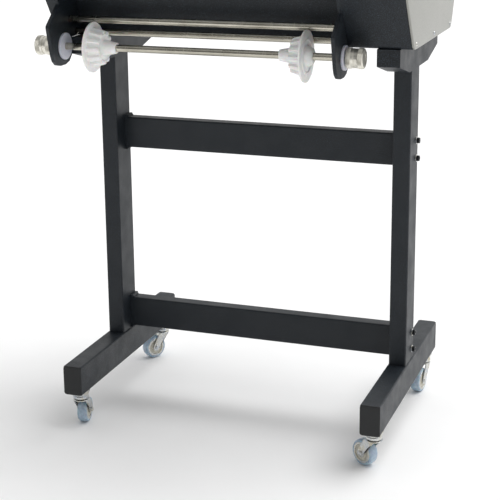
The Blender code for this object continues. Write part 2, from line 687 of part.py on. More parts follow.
def make_pressure_wheels():
    base = HEAD_CEILING + GAP
    rim_low = base + PRESSURE_HUB
    rim_high = rim_low + PRESSURE_RIM
    tip = UPPER_AXIS_Z + BLOCK_ABOVE - SPINDLE_IN_BLOCK
    edge = 0.003
    profile = [
        (tip, 0),
        (tip, SPINDLE_RADIUS),
        (base, SPINDLE_RADIUS),
        (base, WHEEL_HUB_RADIUS),
        (rim_low, WHEEL_HUB_RADIUS),
        (rim_low, PRESSURE_RADIUS - edge),
        (rim_low + edge, PRESSURE_RADIUS),
        (rim_high - edge, PRESSURE_RADIUS),
        (rim_high, PRESSURE_RADIUS - edge),
        (rim_high, WHEEL_HUB_RADIUS),
        (rim_high + edge, WHEEL_HUB_RADIUS - edge),
        (rim_high + edge, 0),
    ]
    for side, x in (("left", OUTER_LEFT - SPINDLE_OUT), ("right", OUTER_RIGHT + SPINDLE_OUT)):
        wheel = turned(profile, "Z", sides=20)
        finished(f"{side}_pressure_wheel", wheel, "black_plastic", (x, NIP_Y, 0))


# ---- film shafts ----
def make_lower_film_shaft():
    """A plain bar with the brake discs, the spacers and the collar that turn with it."""
    ear_left, ear_right = OUTER_LEFT - GAP, OUTER_RIGHT + GAP
    knob_left, knob_right = ear_left - LEFT_HUB, ear_right + DISC + RIGHT_HUB
    hub = 0.012
    steps = [
        (knob_left, SHAFT_RADIUS, hub),
        (ear_left, hub, SHAFT_RADIUS),
        (INNER_LEFT + GAP, SHAFT_RADIUS, LEFT_DISC_RADIUS),
        (INNER_LEFT + GAP + DISC, LEFT_DISC_RADIUS, SHAFT_RADIUS),
        (INNER_RIGHT - GAP - COLLAR, SHAFT_RADIUS, COLLAR_RADIUS),
        (INNER_RIGHT - GAP, COLLAR_RADIUS, SHAFT_RADIUS),
        (ear_right, SHAFT_RADIUS, RIGHT_DISC_RADIUS),
        (ear_right + DISC, RIGHT_DISC_RADIUS, hub),
        (knob_right, hub, SHAFT_RADIUS),
    ]
    profile = [(knob_left - KNOB_LENGTH + 0.006, 0), (knob_left - KNOB_LENGTH + 0.006, SHAFT_RADIUS)]
    for x, before, after in steps:
        profile += [(x, before), (x, after)]
    end = knob_right + KNOB_LENGTH - 0.006
    profile += [(end, SHAFT_RADIUS), (end, 0)]
    place = (0, FILM_Y, FILM_Z)
    finished("lower_film_shaft", turned(profile), "polished_steel", place)
    bore = SHAFT_RADIUS + GAP
    depth = KNOB_LENGTH - 0.005
    knob = [
        (0, bore),
        (0, KNOB_RADIUS - 0.001),
        (0.001, KNOB_RADIUS),
        (KNOB_LENGTH * 0.45, KNOB_RADIUS),
        (KNOB_LENGTH * 0.45, KNOB_RADIUS - 0.0015),
        (KNOB_LENGTH * 0.52, KNOB_RADIUS - 0.0015),
        (KNOB_LENGTH * 0.52, KNOB_RADIUS),
        (KNOB_LENGTH - 0.003, KNOB_RADIUS),
        (KNOB_LENGTH, KNOB_RADIUS - 0.003),
        (KNOB_LENGTH, 0),
        (depth, 0),
        (depth, bore),
    ]
    for side, start, way in (("left", knob_left - GAP, -1), ("right", knob_right + GAP, 1)):
        profile = [(start + way * along, radius) for along, radius in knob]
        # the ring starts and ends on the axis, so it is spun open and its end joined by the bore
        ring = profile[9:10] + profile[8::-1] + profile[:9:-1]
        finished(f"{side}_tension_knob", turned(ring, sides=20), "champagne_knob", place)


def chuck_profile(start, way):
    """A core chuck from its hub end at start: hub, flange, tapered step and nose."""
    bore = SHAFT_RADIUS + GAP
    flange = CHUCK_HUB + CHUCK_FLANGE
    step = flange + CHUCK_STEP
    nose = step + CHUCK_NOSE
    shape = [
        (0, bore),
        (0, 0.0150),
        (CHUCK_HUB, CHUCK_HUB_RADIUS),
        (CHUCK_HUB, CHUCK_RADIUS),
        (flange, CHUCK_RADIUS),
        (flange, 0.0440),
        (step, 0.0370),
        (step, 0.0165),
        (nose, 0.0120),
        (nose, bore),
    ]
    return [(start + way * along, radius) for along, radius in shape]


def make_chucks():
    for shaft, y, z in (("lower", FILM_Y, FILM_Z), ("supply", SUPPLY_Y, SUPPLY_Z)):
        for side, start, way in (
            ("left", INNER_LEFT + LEFT_CHUCK_IN, 1),
            ("right", INNER_RIGHT - RIGHT_CHUCK_IN, -1),
        ):
            chuck = turned(chuck_profile(start, way), sides=20, bored=True)
            finished(f"{side}_{shaft}_chuck", chuck, "white_plastic", (0, y, z))


def make_supply_shaft():
    reach = PLATE * 0.9
    bar = rod(INNER_LEFT - reach, INNER_RIGHT + reach, SHAFT_RADIUS)
    finished("supply_shaft", bar, "polished_steel", (0, SUPPLY_Y, SUPPLY_Z))


# ---- drive ----
def gear_outline(teeth, phase):
    """Involute teeth at a 20 degree pressure angle, thinned for backlash."""
    pitch = MODULE * teeth / 2
    base = pitch * math.cos(math.radians(20))
    backlash = 0.00035
    half = (math.pi * MODULE / 4 - backlash) / pitch

    def spread(radius):
        if radius <= base:
            return 0.0
        angle = math.acos(base / radius)
        return math.tan(angle) - angle

    outer = pitch + 0.9 * MODULE
    root = pitch - 1.2 * MODULE
    radii = [root, pitch, outer]
    widths = [half + spread(pitch) - spread(radius) for radius in radii]
    outline = []
    for tooth in range(teeth):
        middle = phase + 2 * math.pi * tooth / teeth
        flank = [(r, middle - w) for r, w in zip(radii, widths)]
        flank += [(r, middle + w) for r, w in list(zip(radii, widths))[::-1]]
        outline += [(r * math.cos(a), r * math.sin(a)) for r, a in flank]
    return outline


def drive_place():
    distance = MODULE * (PINION_TEETH + GEAR_TEETH) / 2
    return (
        NIP_Y + distance * math.cos(DRIVE_ANGLE),
        LOWER_AXIS_Z + distance * math.sin(DRIVE_ANGLE),
    )


def make_drive():
    low = OUTER_RIGHT + GEAR_OUT
    high = low + GEAR_WIDTH
    # a gear tooth points at the pinion, and a pinion gap points back at it
    gear = prism([gear_outline(GEAR_TEETH, DRIVE_ANGLE), circle(0, 0, JOURNAL_RADIUS + GAP)], low, high)
    finished("roller_gear", gear, "zinc", (0, NIP_Y, LOWER_AXIS_Z))
    y, z = drive_place()
    phase = DRIVE_ANGLE + math.pi + math.pi / PINION_TEETH
    shaft = 0.005
    motor_face = high + 0.006
    built(
        "drive_pinion",
        prism([gear_outline(PINION_TEETH, phase)], low, high),
        "zinc",
        (0, y, z),
        add=[rod(high - 0.004, motor_face + 0.018, shaft, sides=16)],
    )
    gearbox_end = motor_face + GEARBOX_LENGTH
    end = gearbox_end + MOTOR_LENGTH
    bore = shaft + GAP
    profile = [
        (motor_face + 0.020, 0),
        (motor_face + 0.020, bore),
        (motor_face, bore),
        (motor_face, GEARBOX_RADIUS),
        (gearbox_end, GEARBOX_RADIUS),
        (gearbox_end, MOTOR_RADIUS),
        (end - 0.003, MOTOR_RADIUS),
        (end, MOTOR_RADIUS - 0.003),
        (end, 0),
    ]
    post_radius, post_circle = 0.0035, GEARBOX_RADIUS - 0.0045
    posts = []
    for turn in (75, 180, 285):
        angle = DRIVE_ANGLE + math.pi + math.radians(turn)
        centre = (0, post_circle * math.cos(angle), post_circle * math.sin(angle))
        posts.append(rod(OUTER_RIGHT + GAP, motor_face + 0.004, post_radius, "X", centre, 12))
    built("gear_motor", turned(profile), "black_plastic", (0, y, z), add=posts)


# ---- controls ----
def control_matrix():
    """The sloping control facet's frame: X across, Y up the slope and Z out of it."""
    low = Vector((0, NOSE_Y, HEAD_BASE + NOSE_HIGH))
    high = Vector((0, TOP_FRONT, HEAD_CEILING))
    slope = high - low
    middle = (low + high) / 2
    middle.x = (OUTER_RIGHT + HEAD_RIGHT) / 2
    return Matrix.Translation(middle) @ Matrix.Rotation(math.atan2(slope.z, slope.y), 4, "X")


def rocker_section(half, rise, depth):
    """A rocker's side view: a shallow V on top of a straight-sided body."""
    return [(-half, -depth), (half, -depth), (half, rise), (0, rise * 0.45), (-half, rise)]


def make_controls():
    frame = control_matrix()
    face = SHEET + GAP
    knob_at, stop_at, rocker_at = (-0.026, 0.026), (0.026, 0.026), (0.0, -0.030)
    half_width, half_length = PANEL_WIDTH / 2, PANEL_LENGTH / 2
    outline = rounded(rectangle(-half_width, -half_length, half_width, half_length), 0.006, 3)
    rocker_half, rocker_width = 0.0107, 0.0064
    window = rectangle(
        rocker_at[0] - rocker_width - 0.0004,
        rocker_at[1] - rocker_half - 0.0015,
        rocker_at[0] + rocker_width + 0.0004,
        rocker_at[1] + rocker_half + 0.0015,
    )
    knob_shaft, stop_stem = 0.003, 0.010
    holes = [circle(*knob_at, knob_shaft + GAP), circle(*stop_at, stop_stem + GAP), window]
    panel = finished("control_panel", prism([outline, *holes], GAP, face, "Z"), "black_plastic")
    knob = turned(
        [
            (-0.010, 0), (-0.010, knob_shaft), (face + GAP, knob_shaft), (face + GAP, 0.016),
            (face + 0.016, 0.014), (face + 0.018, 0.012), (face + 0.018, 0),
        ],
        "Z",
    )
    stop_button = turned(
        [
            (-0.014, 0), (-0.014, stop_stem), (face + 0.011, stop_stem), (face + 0.011, 0.0165),
            (face + 0.014, 0.0180), (face + 0.019, 0.0165), (face + 0.022, 0.010), (face + 0.023, 0),
        ],
        "Z",
    )
    pivot = -0.001
    section = rocker_section(rocker_half, face - pivot + 0.003, 0.006)
    rocker = prism([section], -rocker_width, rocker_width)
    panel.matrix_world = frame
    for name, shape, finish, (x, y), depth in (
        ("speed_knob", knob, "black_plastic", knob_at, 0),
        ("emergency_stop", stop_button, "red_plastic", stop_at, 0),
        ("direction_switch", rocker, "black_plastic", rocker_at, pivot),
    ):
        control = finished(name, shape, finish)
        control.parent = panel
        control.location = (x, y, depth)


def inlet_place():
    return DRIVE_RIGHT - 0.087, TAIL_Y, HEAD_BASE + (TAIL_LOW + TAIL_HIGH) / 2


def main_switch_place():
    return DRIVE_RIGHT - 0.036, TAIL_Y, HEAD_BASE + (TAIL_LOW + TAIL_HIGH) / 2


def make_power_inlet():
    x, y, z = inlet_place()
    face = y + GAP
    recess = 0.018
    flange = prism([rounded(rectangle(-0.025, -0.014, 0.025, 0.014), 0.004, 3)], GAP, 0.0028, "Y")
    body = block((-0.0144, -0.024, -0.0104), (0.0144, 0.001, 0.0104))
    socket = block((-0.012, 0.0028 - recess, -0.008), (0.012, 0.010, 0.008))
    pins = [
        block((px - 0.001, -0.020, pz - 0.0023), (px + 0.001, 0.0028 - 0.007, pz + 0.0023))
        for px, pz in ((-0.007, -0.001), (0.0, 0.003), (0.007, -0.001))
    ]
    inlet = add_object("power_inlet", flange)
    combine(inlet, [body], "UNION")
    combine(inlet, [socket], "DIFFERENCE")
    combine(inlet, pins, "UNION")
    inlet.location = (x, face - GAP, z)
    give_finish(inlet, "black_plastic")


def make_main_switch():
    """A two-position rocker in the rear wall, resting tipped to its off side."""
    x, y, z = main_switch_place()
    pivot = -0.002
    section = [(along, out) for along, out in rocker_section(0.0105, 0.007, 0.005)]
    rocker = prism([[(out, along) for along, out in section]], -0.0063, 0.0063)
    rocker.transform(Matrix.Rotation(math.radians(-8), 4, "X"))
    finished("main_switch", rocker, "black_plastic", (x, y + pivot, z))


def centre_everything():
    """Moves the whole machine so that the origin is under the middle of its width."""
    for obj in bpy.data.objects:
        if obj.parent is None:
            obj.location.x -= CENTRE_X


def main():
    clear_scene()
    make_feet()
    make_uprights()
    make_top_arms()
    make_crossbars()
    make_casters()
    make_side_plates()
    make_covers()
    make_belly_pan()
    make_guide_bars()
    make_feed_table()
    make_rollers()
    make_bearing_blocks()
    make_pressure_wheels()
    make_lower_film_shaft()
    make_supply_shaft()
    make_chucks()
    make_drive()
    make_controls()
    make_power_inlet()
    make_main_switch()
    centre_everything()


main()
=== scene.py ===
"""Looks for a 610 mm cold roll laminator on a wheeled stand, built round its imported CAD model.

Metres, +Z up, the feed side towards -Y. Shapes are worked out as whole numpy arrays: a profile
turned about an axis, or an outline carried along one. Places come from the CAD nodes' boxes and
from the joints.
"""

import json
import math

import bmesh
import bpy
import numpy as np
from mathutils import Matrix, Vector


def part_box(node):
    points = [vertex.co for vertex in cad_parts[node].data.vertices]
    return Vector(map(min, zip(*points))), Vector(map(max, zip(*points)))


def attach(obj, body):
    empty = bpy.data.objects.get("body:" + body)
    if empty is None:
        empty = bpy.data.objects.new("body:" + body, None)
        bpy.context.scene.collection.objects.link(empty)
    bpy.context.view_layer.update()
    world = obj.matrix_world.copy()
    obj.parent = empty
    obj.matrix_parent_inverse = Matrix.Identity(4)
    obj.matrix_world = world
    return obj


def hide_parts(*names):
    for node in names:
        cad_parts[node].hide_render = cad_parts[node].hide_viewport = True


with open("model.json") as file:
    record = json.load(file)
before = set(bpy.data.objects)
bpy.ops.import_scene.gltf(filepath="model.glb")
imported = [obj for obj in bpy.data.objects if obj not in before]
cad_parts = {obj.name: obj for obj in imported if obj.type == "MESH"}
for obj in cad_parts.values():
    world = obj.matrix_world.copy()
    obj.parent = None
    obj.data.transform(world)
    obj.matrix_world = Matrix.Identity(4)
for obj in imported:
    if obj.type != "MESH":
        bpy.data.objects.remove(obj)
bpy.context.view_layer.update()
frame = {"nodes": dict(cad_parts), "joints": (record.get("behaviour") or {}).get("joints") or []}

X, Y, Z = np.eye(3)
MM = 0.001
GAP = 0.0003  # between neighbours that touch
SHAFT_RADIUS = 0.008  # film shafts and guide bars
DISC = 0.005  # a brake disc's thickness
COVER_EASE = 0.0135  # how far the head's corners are eased

JOINTS = {joint["name"]: joint for joint in frame["joints"]}


# ---- shapes ----
def softened(corners, ease, steps=4):
    """A closed outline with eased corners: each corner C turns into the curve
    (1-t)^2 A + 2t(1-t) C + t^2 B, with A and B the ease back along its two sides."""
    corners = np.asarray(corners, float)
    before = np.roll(corners, 1, 0) - corners
    after = np.roll(corners, -1, 0) - corners
    ease = np.broadcast_to(ease, len(corners))[:, None]
    back = before * np.minimum(ease / np.linalg.norm(before, axis=1, keepdims=True), 0.5)
    on = after * np.minimum(ease / np.linalg.norm(after, axis=1, keepdims=True), 0.5)
    t = np.linspace(0, 1, steps + 1)[None, :, None]
    curve = corners[:, None] + (1 - t) ** 2 * back[:, None] + t**2 * on[:, None]
    return curve.reshape(-1, 2)


def open_profile(corners, ease, steps=4):
    """As softened, for a profile whose two ends stay put."""
    ease = np.array(np.broadcast_to(ease, len(corners)), float)
    ease[[0, -1]] = 0
    return softened(corners, ease, steps)


def skinned(rings, wrap=False):
    """Loops of points, as an array of (loop, point, xyz), joined by quads. The two end loops get
    one flat face each, unless the last loop joins on to the first."""
    count, around = rings.shape[:2]
    row, column = np.meshgrid(np.arange(count if wrap else count - 1), np.arange(around), indexing="ij")
    row_on, column_on = (row + 1) % count, (column + 1) % around
    quads = np.stack(
        [
            row * around + column,
            row * around + column_on,
            row_on * around + column_on,
            row_on * around + column,
        ],
        -1,
    ).reshape(-1, 4)
    faces = quads.tolist()
    if not wrap:
        last = np.arange(around) + (count - 1) * around
        faces += [np.arange(around)[::-1].tolist(), last.tolist()]
    return rings.reshape(-1, 3), faces


def turned(profile, sides=64, relief=None, bored=False):
    """A profile of (along, radius) turned about Z: the point at angle t is
    (r cos t, r sin t, along), and relief(along, radius, t) gives r where it isn't the radius."""
    profile = np.asarray(profile, float)
    angle = np.linspace(0, 2 * math.pi, sides, endpoint=False)[None, :]
    along = np.repeat(profile[:, :1], sides, 1)
    radius = np.repeat(profile[:, 1:], sides, 1)
    if relief is not None:
        radius = relief(along, radius, angle)
    return skinned(np.stack([radius * np.cos(angle), radius * np.sin(angle), along], -1), bored)


def drawn_in(outline, distance):
    """A closed outline moved inwards: each point goes the distance along its inward normal, which
    is square to the line between its two neighbours."""
    outline = np.asarray(outline, float)
    tangent = np.roll(outline, -1, 0) - np.roll(outline, 1, 0)
    tangent /= np.maximum(np.linalg.norm(tangent, axis=1, keepdims=True), 1e-12)
    x, y = outline.T
    way = np.sign((x * np.roll(y, -1) - y * np.roll(x, -1)).sum())
    return outline + way * distance * np.stack([-tangent[:, 1], tangent[:, 0]], 1)


def plated(outline, low, high, ease=0.0):
    """A closed outline in local X and Y carried from low to high along Z, with its edges eased by
    a quarter circle of that radius."""
    turn = np.linspace(0, math.pi / 2, 4)
    if ease:
        drawn = np.concatenate([ease * (1 - np.sin(turn)), ease * (1 - np.cos(turn))])
        heights = np.concatenate([low + ease * (1 - np.cos(turn)), high - ease * (1 - np.sin(turn))])
    else:
        drawn, heights = np.zeros(2), np.array([low, high])
    rings = [
        np.column_stack([drawn_in(outline, inset), np.full(len(outline), height)])
        for inset, height in zip(drawn, heights)
    ]
    return skinned(np.array(rings))


def rectangle(width, height, ease, steps=5):
    """A rectangle about the origin with eased corners."""
    half = np.array([width, height]) / 2
    return softened(half * [(-1, -1), (1, -1), (1, 1), (-1, 1)], ease, steps)


def aimed(shape, origin, axis=(0, 0, 1), across=(1, 0, 0)):
    """Turns a shape so that its Z lies along axis and its X as near across as that allows, then
    moves it to origin."""
    points, faces = shape
    z = np.asarray(axis, float) / np.linalg.norm(axis)
    x = np.asarray(across, float) - np.dot(across, z) * z
    if np.linalg.norm(x) < 1e-6:
        x = Z - np.dot(Z, z) * z
    x /= np.linalg.norm(x)
    return np.asarray(origin, float) + points @ np.array([x, np.cross(z, x), z]), faces


def together(*shapes):
    """Several shapes as one, each one's faces counted on from the last one's points."""
    starts = np.cumsum([0] + [len(points) for points, _ in shapes[:-1]])
    faces = [
        [corner + int(start) for corner in face]
        for (_, each), start in zip(shapes, starts)
        for face in each
    ]
    return np.concatenate([points for points, _ in shapes]), faces


def piece(name, shape, finish, body="frame", replaces=(), sharp=32):
    """Makes the mesh, closes its seams and poles, turns its faces outwards, and seats it on its
    body. Edges that bend by more than sharp degrees stay crisp."""
    points, faces = shape
    mesh = bpy.data.meshes.new(name)
    mesh.from_pydata(points.tolist(), [], faces)
    skin = bmesh.new()
    skin.from_mesh(mesh)
    bmesh.ops.remove_doubles(skin, verts=skin.verts, dist=2e-6)
    bmesh.ops.dissolve_degenerate(skin, edges=skin.edges, dist=1e-7)
    bmesh.ops.recalc_face_normals(skin, faces=skin.faces)
    skin.to_mesh(mesh)
    skin.free()
    mesh.shade_smooth()
    mesh.set_sharp_from_angle(angle=math.radians(sharp))
    mesh.materials.append(finish)
    obj = bpy.data.objects.new(name, mesh)
    bpy.context.scene.collection.objects.link(obj)
    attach(obj, body)
    if replaces:
        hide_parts(*replaces)


# ---- nodes and colours ----
def colour(code):
    """An sRGB hex colour as linear values."""
    value = np.array([int(code[i : i + 2], 16) for i in (1, 3, 5)]) / 255
    value = np.where(value <= 0.04045, value / 12.92, ((value + 0.055) / 1.055) ** 2.4)
    return (*value.tolist(), 1.0)


def add(tree, kind, inputs=(), **settings):
    """Adds a shader node. Settings are its own properties, and inputs maps each socket to a value
    or to another node's output."""
    node = tree.nodes.new("ShaderNode" + kind)
    for name, value in settings.items():
        setattr(node, name, value)
    for socket, value in dict(inputs).items():
        if isinstance(value, bpy.types.NodeSocket):
            tree.links.new(value, node.inputs[socket])
        else:
            node.inputs[socket].default_value = value
    return node


def bare(name, base, roughness, metallic=0.0, **sockets):
    """A material whose shader holds its uniform values. Returns it with its tree and its shader."""
    material = bpy.data.materials.new(name)
    material.use_nodes = True
    tree = material.node_tree
    shader = tree.nodes["Principled BSDF"]
    shader.inputs["Base Color"].default_value = colour(base)
    shader.inputs["Roughness"].default_value = roughness
    shader.inputs["Metallic"].default_value = metallic
    for socket, value in sockets.items():
        shader.inputs[socket.replace("_", " ")].default_value = value
    return material, tree, shader


def grained(tree, size, stretch=(1, 1, 1), detail=3.0):
    """Noise on the object's own coordinates. Size is one grain in metres, and stretch says how
    many times longer a grain is along each axis."""
    place = add(tree, "TexCoord").outputs["Object"]
    scale = [1 / (size * s) for s in stretch]
    spread = add(tree, "Mapping", {"Vector": place, "Scale": scale})
    noise = add(
        tree,
        "TexNoise",
        {"Vector": spread.outputs["Vector"], "Scale": 1.0, "Detail": detail, "Roughness": 0.55},
    )
    return noise.outputs["Fac"]


def shaded(tree, shader, amount, stops):
    """Base colour from an amount: stops are (amount, hex colour)."""
    ramp = add(tree, "ValToRGB", {"Fac": amount})
    band = ramp.color_ramp
    while len(band.elements) < len(stops):
        band.elements.new(0.5)
    for element, (at, code) in zip(band.elements, stops):
        element.position = at
        element.color = colour(code)
    tree.links.new(ramp.outputs["Color"], shader.inputs["Base Color"])


def polished(tree, shader, amount, low, high):
    """Roughness between low and high as the amount goes from 0.3 to 0.7."""
    spread = add(
        tree, "MapRange", {"Value": amount, "From Min": 0.3, "From Max": 0.7, "To Min": low, "To Max": high}
    )
    tree.links.new(spread.outputs["Result"], shader.inputs["Roughness"])


def raised(tree, shader, amount, depth):
    """Bump as deep as depth in metres where the amount goes from 0 to 1."""
    bump = add(tree, "Bump", {"Height": amount, "Strength": 1.0, "Distance": depth})
    tree.links.new(bump.outputs["Normal"], shader.inputs["Normal"])


# ---- finishes ----
def satin_powder_coat():
    """Polyester powder coat, baked on welded steel tube. Orange peel of about 1.5 mm, drawn at
    3 mm to show, breaks up the highlights, and paler specks give the faces that catch the light
    their fine sparkle."""
    material, tree, shader = bare("satin_black_powder_coat", "#171c21", 0.48, Specular_IOR_Level=0.38)
    peel = grained(tree, 3.0 * MM)
    speck = grained(tree, 1.6 * MM, detail=1.0)
    shaded(tree, shader, speck, [(0.30, "#0e1216"), (0.56, "#181e24"), (0.74, "#38424c")])
    polished(tree, shader, grained(tree, 45 * MM), 0.40, 0.54)
    raised(tree, shader, peel, 0.00020)
    return material


def moulded_black():
    """Black polypropylene from a spark-eroded mould: an even leather grain of about 1 mm, drawn at
    2 mm, that turns the highlight soft and wide."""
    material, tree, shader = bare("grained_black_polypropylene", "#0d1012", 0.5)
    grain = grained(tree, 2.0 * MM, detail=2.0)
    shaded(tree, shader, grained(tree, 20 * MM), [(0.3, "#0a0c0e"), (0.7, "#111517")])
    polished(tree, shader, grain, 0.42, 0.60)
    raised(tree, shader, grain, 0.00012)
    return material


def glossy_phenolic():
    """Pressed phenolic resin, as on hand wheels: near black with a deep gloss and faint flow
    marks of about 15 mm."""
    material, tree, shader = bare(
        "pressed_black_phenolic", "#0f1011", 0.2, Coat_Weight=0.3, Coat_Roughness=0.08
    )
    flow = grained(tree, 15 * MM)
    shaded(tree, shader, flow, [(0.3, "#0c0d0e"), (0.7, "#17181a")])
    polished(tree, shader, flow, 0.18, 0.32)
    raised(tree, shader, grained(tree, 4 * MM), 0.00003)
    return material


def grey_enamel():
    """Warm grey stove enamel on a sheet panel: a shallow orange peel of about 2 mm, drawn at
    4 mm, under a semi-gloss skin."""
    material, tree, shader = bare("warm_grey_stove_enamel", "#9c9c96", 0.38)
    peel = grained(tree, 4.0 * MM)
    shaded(tree, shader, grained(tree, 60 * MM), [(0.3, "#9a9a94"), (0.7, "#9e9e98")])
    polished(tree, shader, peel, 0.32, 0.46)
    raised(tree, shader, peel, 0.00012)
    return material


def ground_steel():
    """Centreless-ground steel bar: fine rings round the bar, about 0.3 mm apart and drawn at
    1.2 mm, stretch each highlight across it, over a slightly warm metal."""
    material, tree, shader = bare("ground_and_polished_steel", "#c9c5b8", 0.2, 1.0)
    rings = grained(tree, 1.2 * MM, (1, 40, 40), detail=2.0)
    shaded(tree, shader, grained(tree, 30 * MM, (2, 1, 1)), [(0.3, "#a9a598"), (0.7, "#c9c5b8")])
    polished(tree, shader, rings, 0.14, 0.28)
    raised(tree, shader, rings, 0.00001)
    return material


def bright_zinc():
    """Electroplated zinc on pressed steel: bright, with blue and straw patches some 12 mm across
    from the passivating dip, and a little dull where it was handled."""
    material, tree, shader = bare("bright_passivated_zinc", "#c4c7c9", 0.3, 1.0)
    patch = grained(tree, 12 * MM)
    shaded(tree, shader, patch, [(0.30, "#b4bbc4"), (0.50, "#cfd0ce"), (0.72, "#c9c2ae")])
    polished(tree, shader, grained(tree, 5 * MM), 0.22, 0.40)
    raised(tree, shader, grained(tree, 1.5 * MM), 0.00002)
    return material


def blackened_steel():
    """Black oxide on high-tensile screws: dark, oily metal with a dull sheen and worn grey
    patches of about 3 mm."""
    material, tree, shader = bare("black_oxide_steel", "#2a2b2d", 0.38, 1.0)
    worn = grained(tree, 3 * MM)
    shaded(tree, shader, worn, [(0.35, "#1c1d1f"), (0.75, "#4a4c4f")])
    polished(tree, shader, worn, 0.32, 0.48)
    return material


def milled_steel():
    """Milled steel blocks and gears: cutter marks about 0.5 mm apart, drawn at 1.5 mm, give a
    streaked grey."""
    material, tree, shader = bare("milled_steel", "#a7a9ab", 0.35, 1.0)
    marks = grained(tree, 1.5 * MM, (8, 1, 8))
    shaded(tree, shader, marks, [(0.3, "#8e9092"), (0.7, "#b6b8ba")])
    polished(tree, shader, marks, 0.28, 0.44)
    raised(tree, shader, marks, 0.00003)
    return material


def white_nylon():
    """Injection-moulded white nylon: soft light bleeds a little way into it, and flow marks about
    10 mm across keep the gloss uneven."""
    material, tree, shader = bare(
        "moulded_white_nylon", "#f8f8f6", 0.4, Subsurface_Weight=0.2, Subsurface_Scale=0.003
    )
    shaded(tree, shader, grained(tree, 10 * MM), [(0.3, "#f2f2f0"), (0.7, "#fcfcfa")])
    polished(tree, shader, grained(tree, 6 * MM), 0.32, 0.48)
    raised(tree, shader, grained(tree, 2.5 * MM), 0.00004)
    return material


def champagne_anodised():
    """Turned aluminium, anodised a pale champagne: tool rings about 0.4 mm apart, drawn at 1 mm,
    under a satin skin."""
    material, tree, shader = bare("champagne_anodised_aluminium", "#e8e5da", 0.38, 0.8)
    rings = grained(tree, 1.0 * MM, (1, 30, 30), detail=2.0)
    shaded(tree, shader, grained(tree, 9 * MM), [(0.3, "#dfdcd0"), (0.7, "#efece2")])
    polished(tree, shader, rings, 0.28, 0.42)
    raised(tree, shader, rings, 0.00002)
    return material


def natural_acetal():
    """Turned natural acetal: a cool, waxy white with faint rings about 0.5 mm apart, drawn at
    1.5 mm."""
    material, tree, shader = bare(
        "turned_natural_acetal", "#d6d7e2", 0.34, Subsurface_Weight=0.1, Subsurface_Scale=0.002
    )
    rings = grained(tree, 1.5 * MM, (20, 1, 1))
    shaded(tree, shader, grained(tree, 14 * MM), [(0.3, "#cccdda"), (0.7, "#dddee8")])
    polished(tree, shader, rings, 0.28, 0.42)
    return material


def red_silicone():
    """Ground silicone rubber sleeve: brick red and matt, with the even tooth of a 0.2 mm grind,
    drawn at 1.5 mm."""
    material, tree, shader = bare("ground_red_silicone_rubber", "#8c3d31", 0.62, Specular_IOR_Level=0.3)
    tooth = grained(tree, 1.5 * MM)
    shaded(tree, shader, grained(tree, 25 * MM), [(0.3, "#843a2f"), (0.7, "#954336")])
    polished(tree, shader, tooth, 0.56, 0.70)
    raised(tree, shader, tooth, 0.00005)
    return material


def clear_polyurethane():
    """Cast polyurethane tread, a milky grey blue: light spreads inside it, and scuffs about 3 mm
    across dull the running face."""
    material, tree, shader = bare(
        "cast_blue_polyurethane", "#a3b7c8", 0.3, Subsurface_Weight=0.2, Subsurface_Scale=0.004, IOR=1.49
    )
    shaded(tree, shader, grained(tree, 8 * MM), [(0.3, "#8ea5ba"), (0.7, "#b6c8d6")])
    polished(tree, shader, grained(tree, 3 * MM), 0.24, 0.46)
    return material


def cream_nylon():
    """Moulded cream nylon wheel centre: satin, slightly yellowed in patches about 8 mm across."""
    material, tree, shader = bare("moulded_cream_nylon", "#cfccbf", 0.42)
    shaded(tree, shader, grained(tree, 8 * MM), [(0.3, "#c4c0b0"), (0.7, "#d8d6cb")])
    polished(tree, shader, grained(tree, 4 * MM), 0.34, 0.52)
    return material


def moulded_colour(name, low, high):
    """Gloss-moulded ABS in a plain safety colour, with faint flow marks of about 8 mm."""
    material, tree, shader = bare(name, high, 0.3)
    shaded(tree, shader, grained(tree, 8 * MM), [(0.3, low), (0.7, high)])
    polished(tree, shader, grained(tree, 4 * MM), 0.22, 0.38)
    return material


def brushed_aluminium():
    """Brushed and clear-anodised aluminium sheet: lines along its length about 0.2 mm apart,
    drawn at 0.8 mm, draw the light out across them."""
    material, tree, shader = bare("brushed_anodised_aluminium", "#c3c6c8", 0.36, 1.0)
    lines = grained(tree, 0.8 * MM, (60, 1, 1), detail=2.0)
    shaded(tree, shader, lines, [(0.3, "#b2b5b8"), (0.7, "#d0d3d5")])
    polished(tree, shader, lines, 0.28, 0.44)
    raised(tree, shader, lines, 0.00001)
    return material


def screen_print():
    """White screen-printing ink: flat, with the weave of a 0.4 mm mesh, drawn at 1 mm."""
    material, tree, shader = bare("white_screen_print_ink", "#e4e4df", 0.6)
    shaded(tree, shader, grained(tree, 1 * MM), [(0.3, "#d9d9d4"), (0.7, "#ecece8")])
    return material


POWDER_COAT = satin_powder_coat()
BLACK_PLASTIC = moulded_black()
PHENOLIC = glossy_phenolic()
ENAMEL = grey_enamel()
STEEL = ground_steel()
ZINC = bright_zinc()
BLACK_OXIDE = blackened_steel()
MILLED = milled_steel()
NYLON = white_nylon()
CHAMPAGNE = champagne_anodised()
ACETAL = natural_acetal()
SILICONE = red_silicone()
TYRE = clear_polyurethane()
CREAM = cream_nylon()
RED = moulded_colour("moulded_red_abs", "#a5170f", "#b81d14")
YELLOW = moulded_colour("moulded_yellow_abs", "#d9a90c", "#e8b913")
ALUMINIUM = brushed_aluminium()
INK = screen_print()

SLOT_FINISHES = {
    "powder_coat": POWDER_COAT,
    "black_plastic": BLACK_PLASTIC,
    "grey_panel": ENAMEL,
    "polished_steel": STEEL,
    "zinc": MILLED,
    "white_plastic": NYLON,
    "champagne_knob": CHAMPAGNE,
    "silicone_rubber": SILICONE,
    "polyurethane": TYRE,
    "red_plastic": RED,
    "satin_aluminium": ALUMINIUM,
}


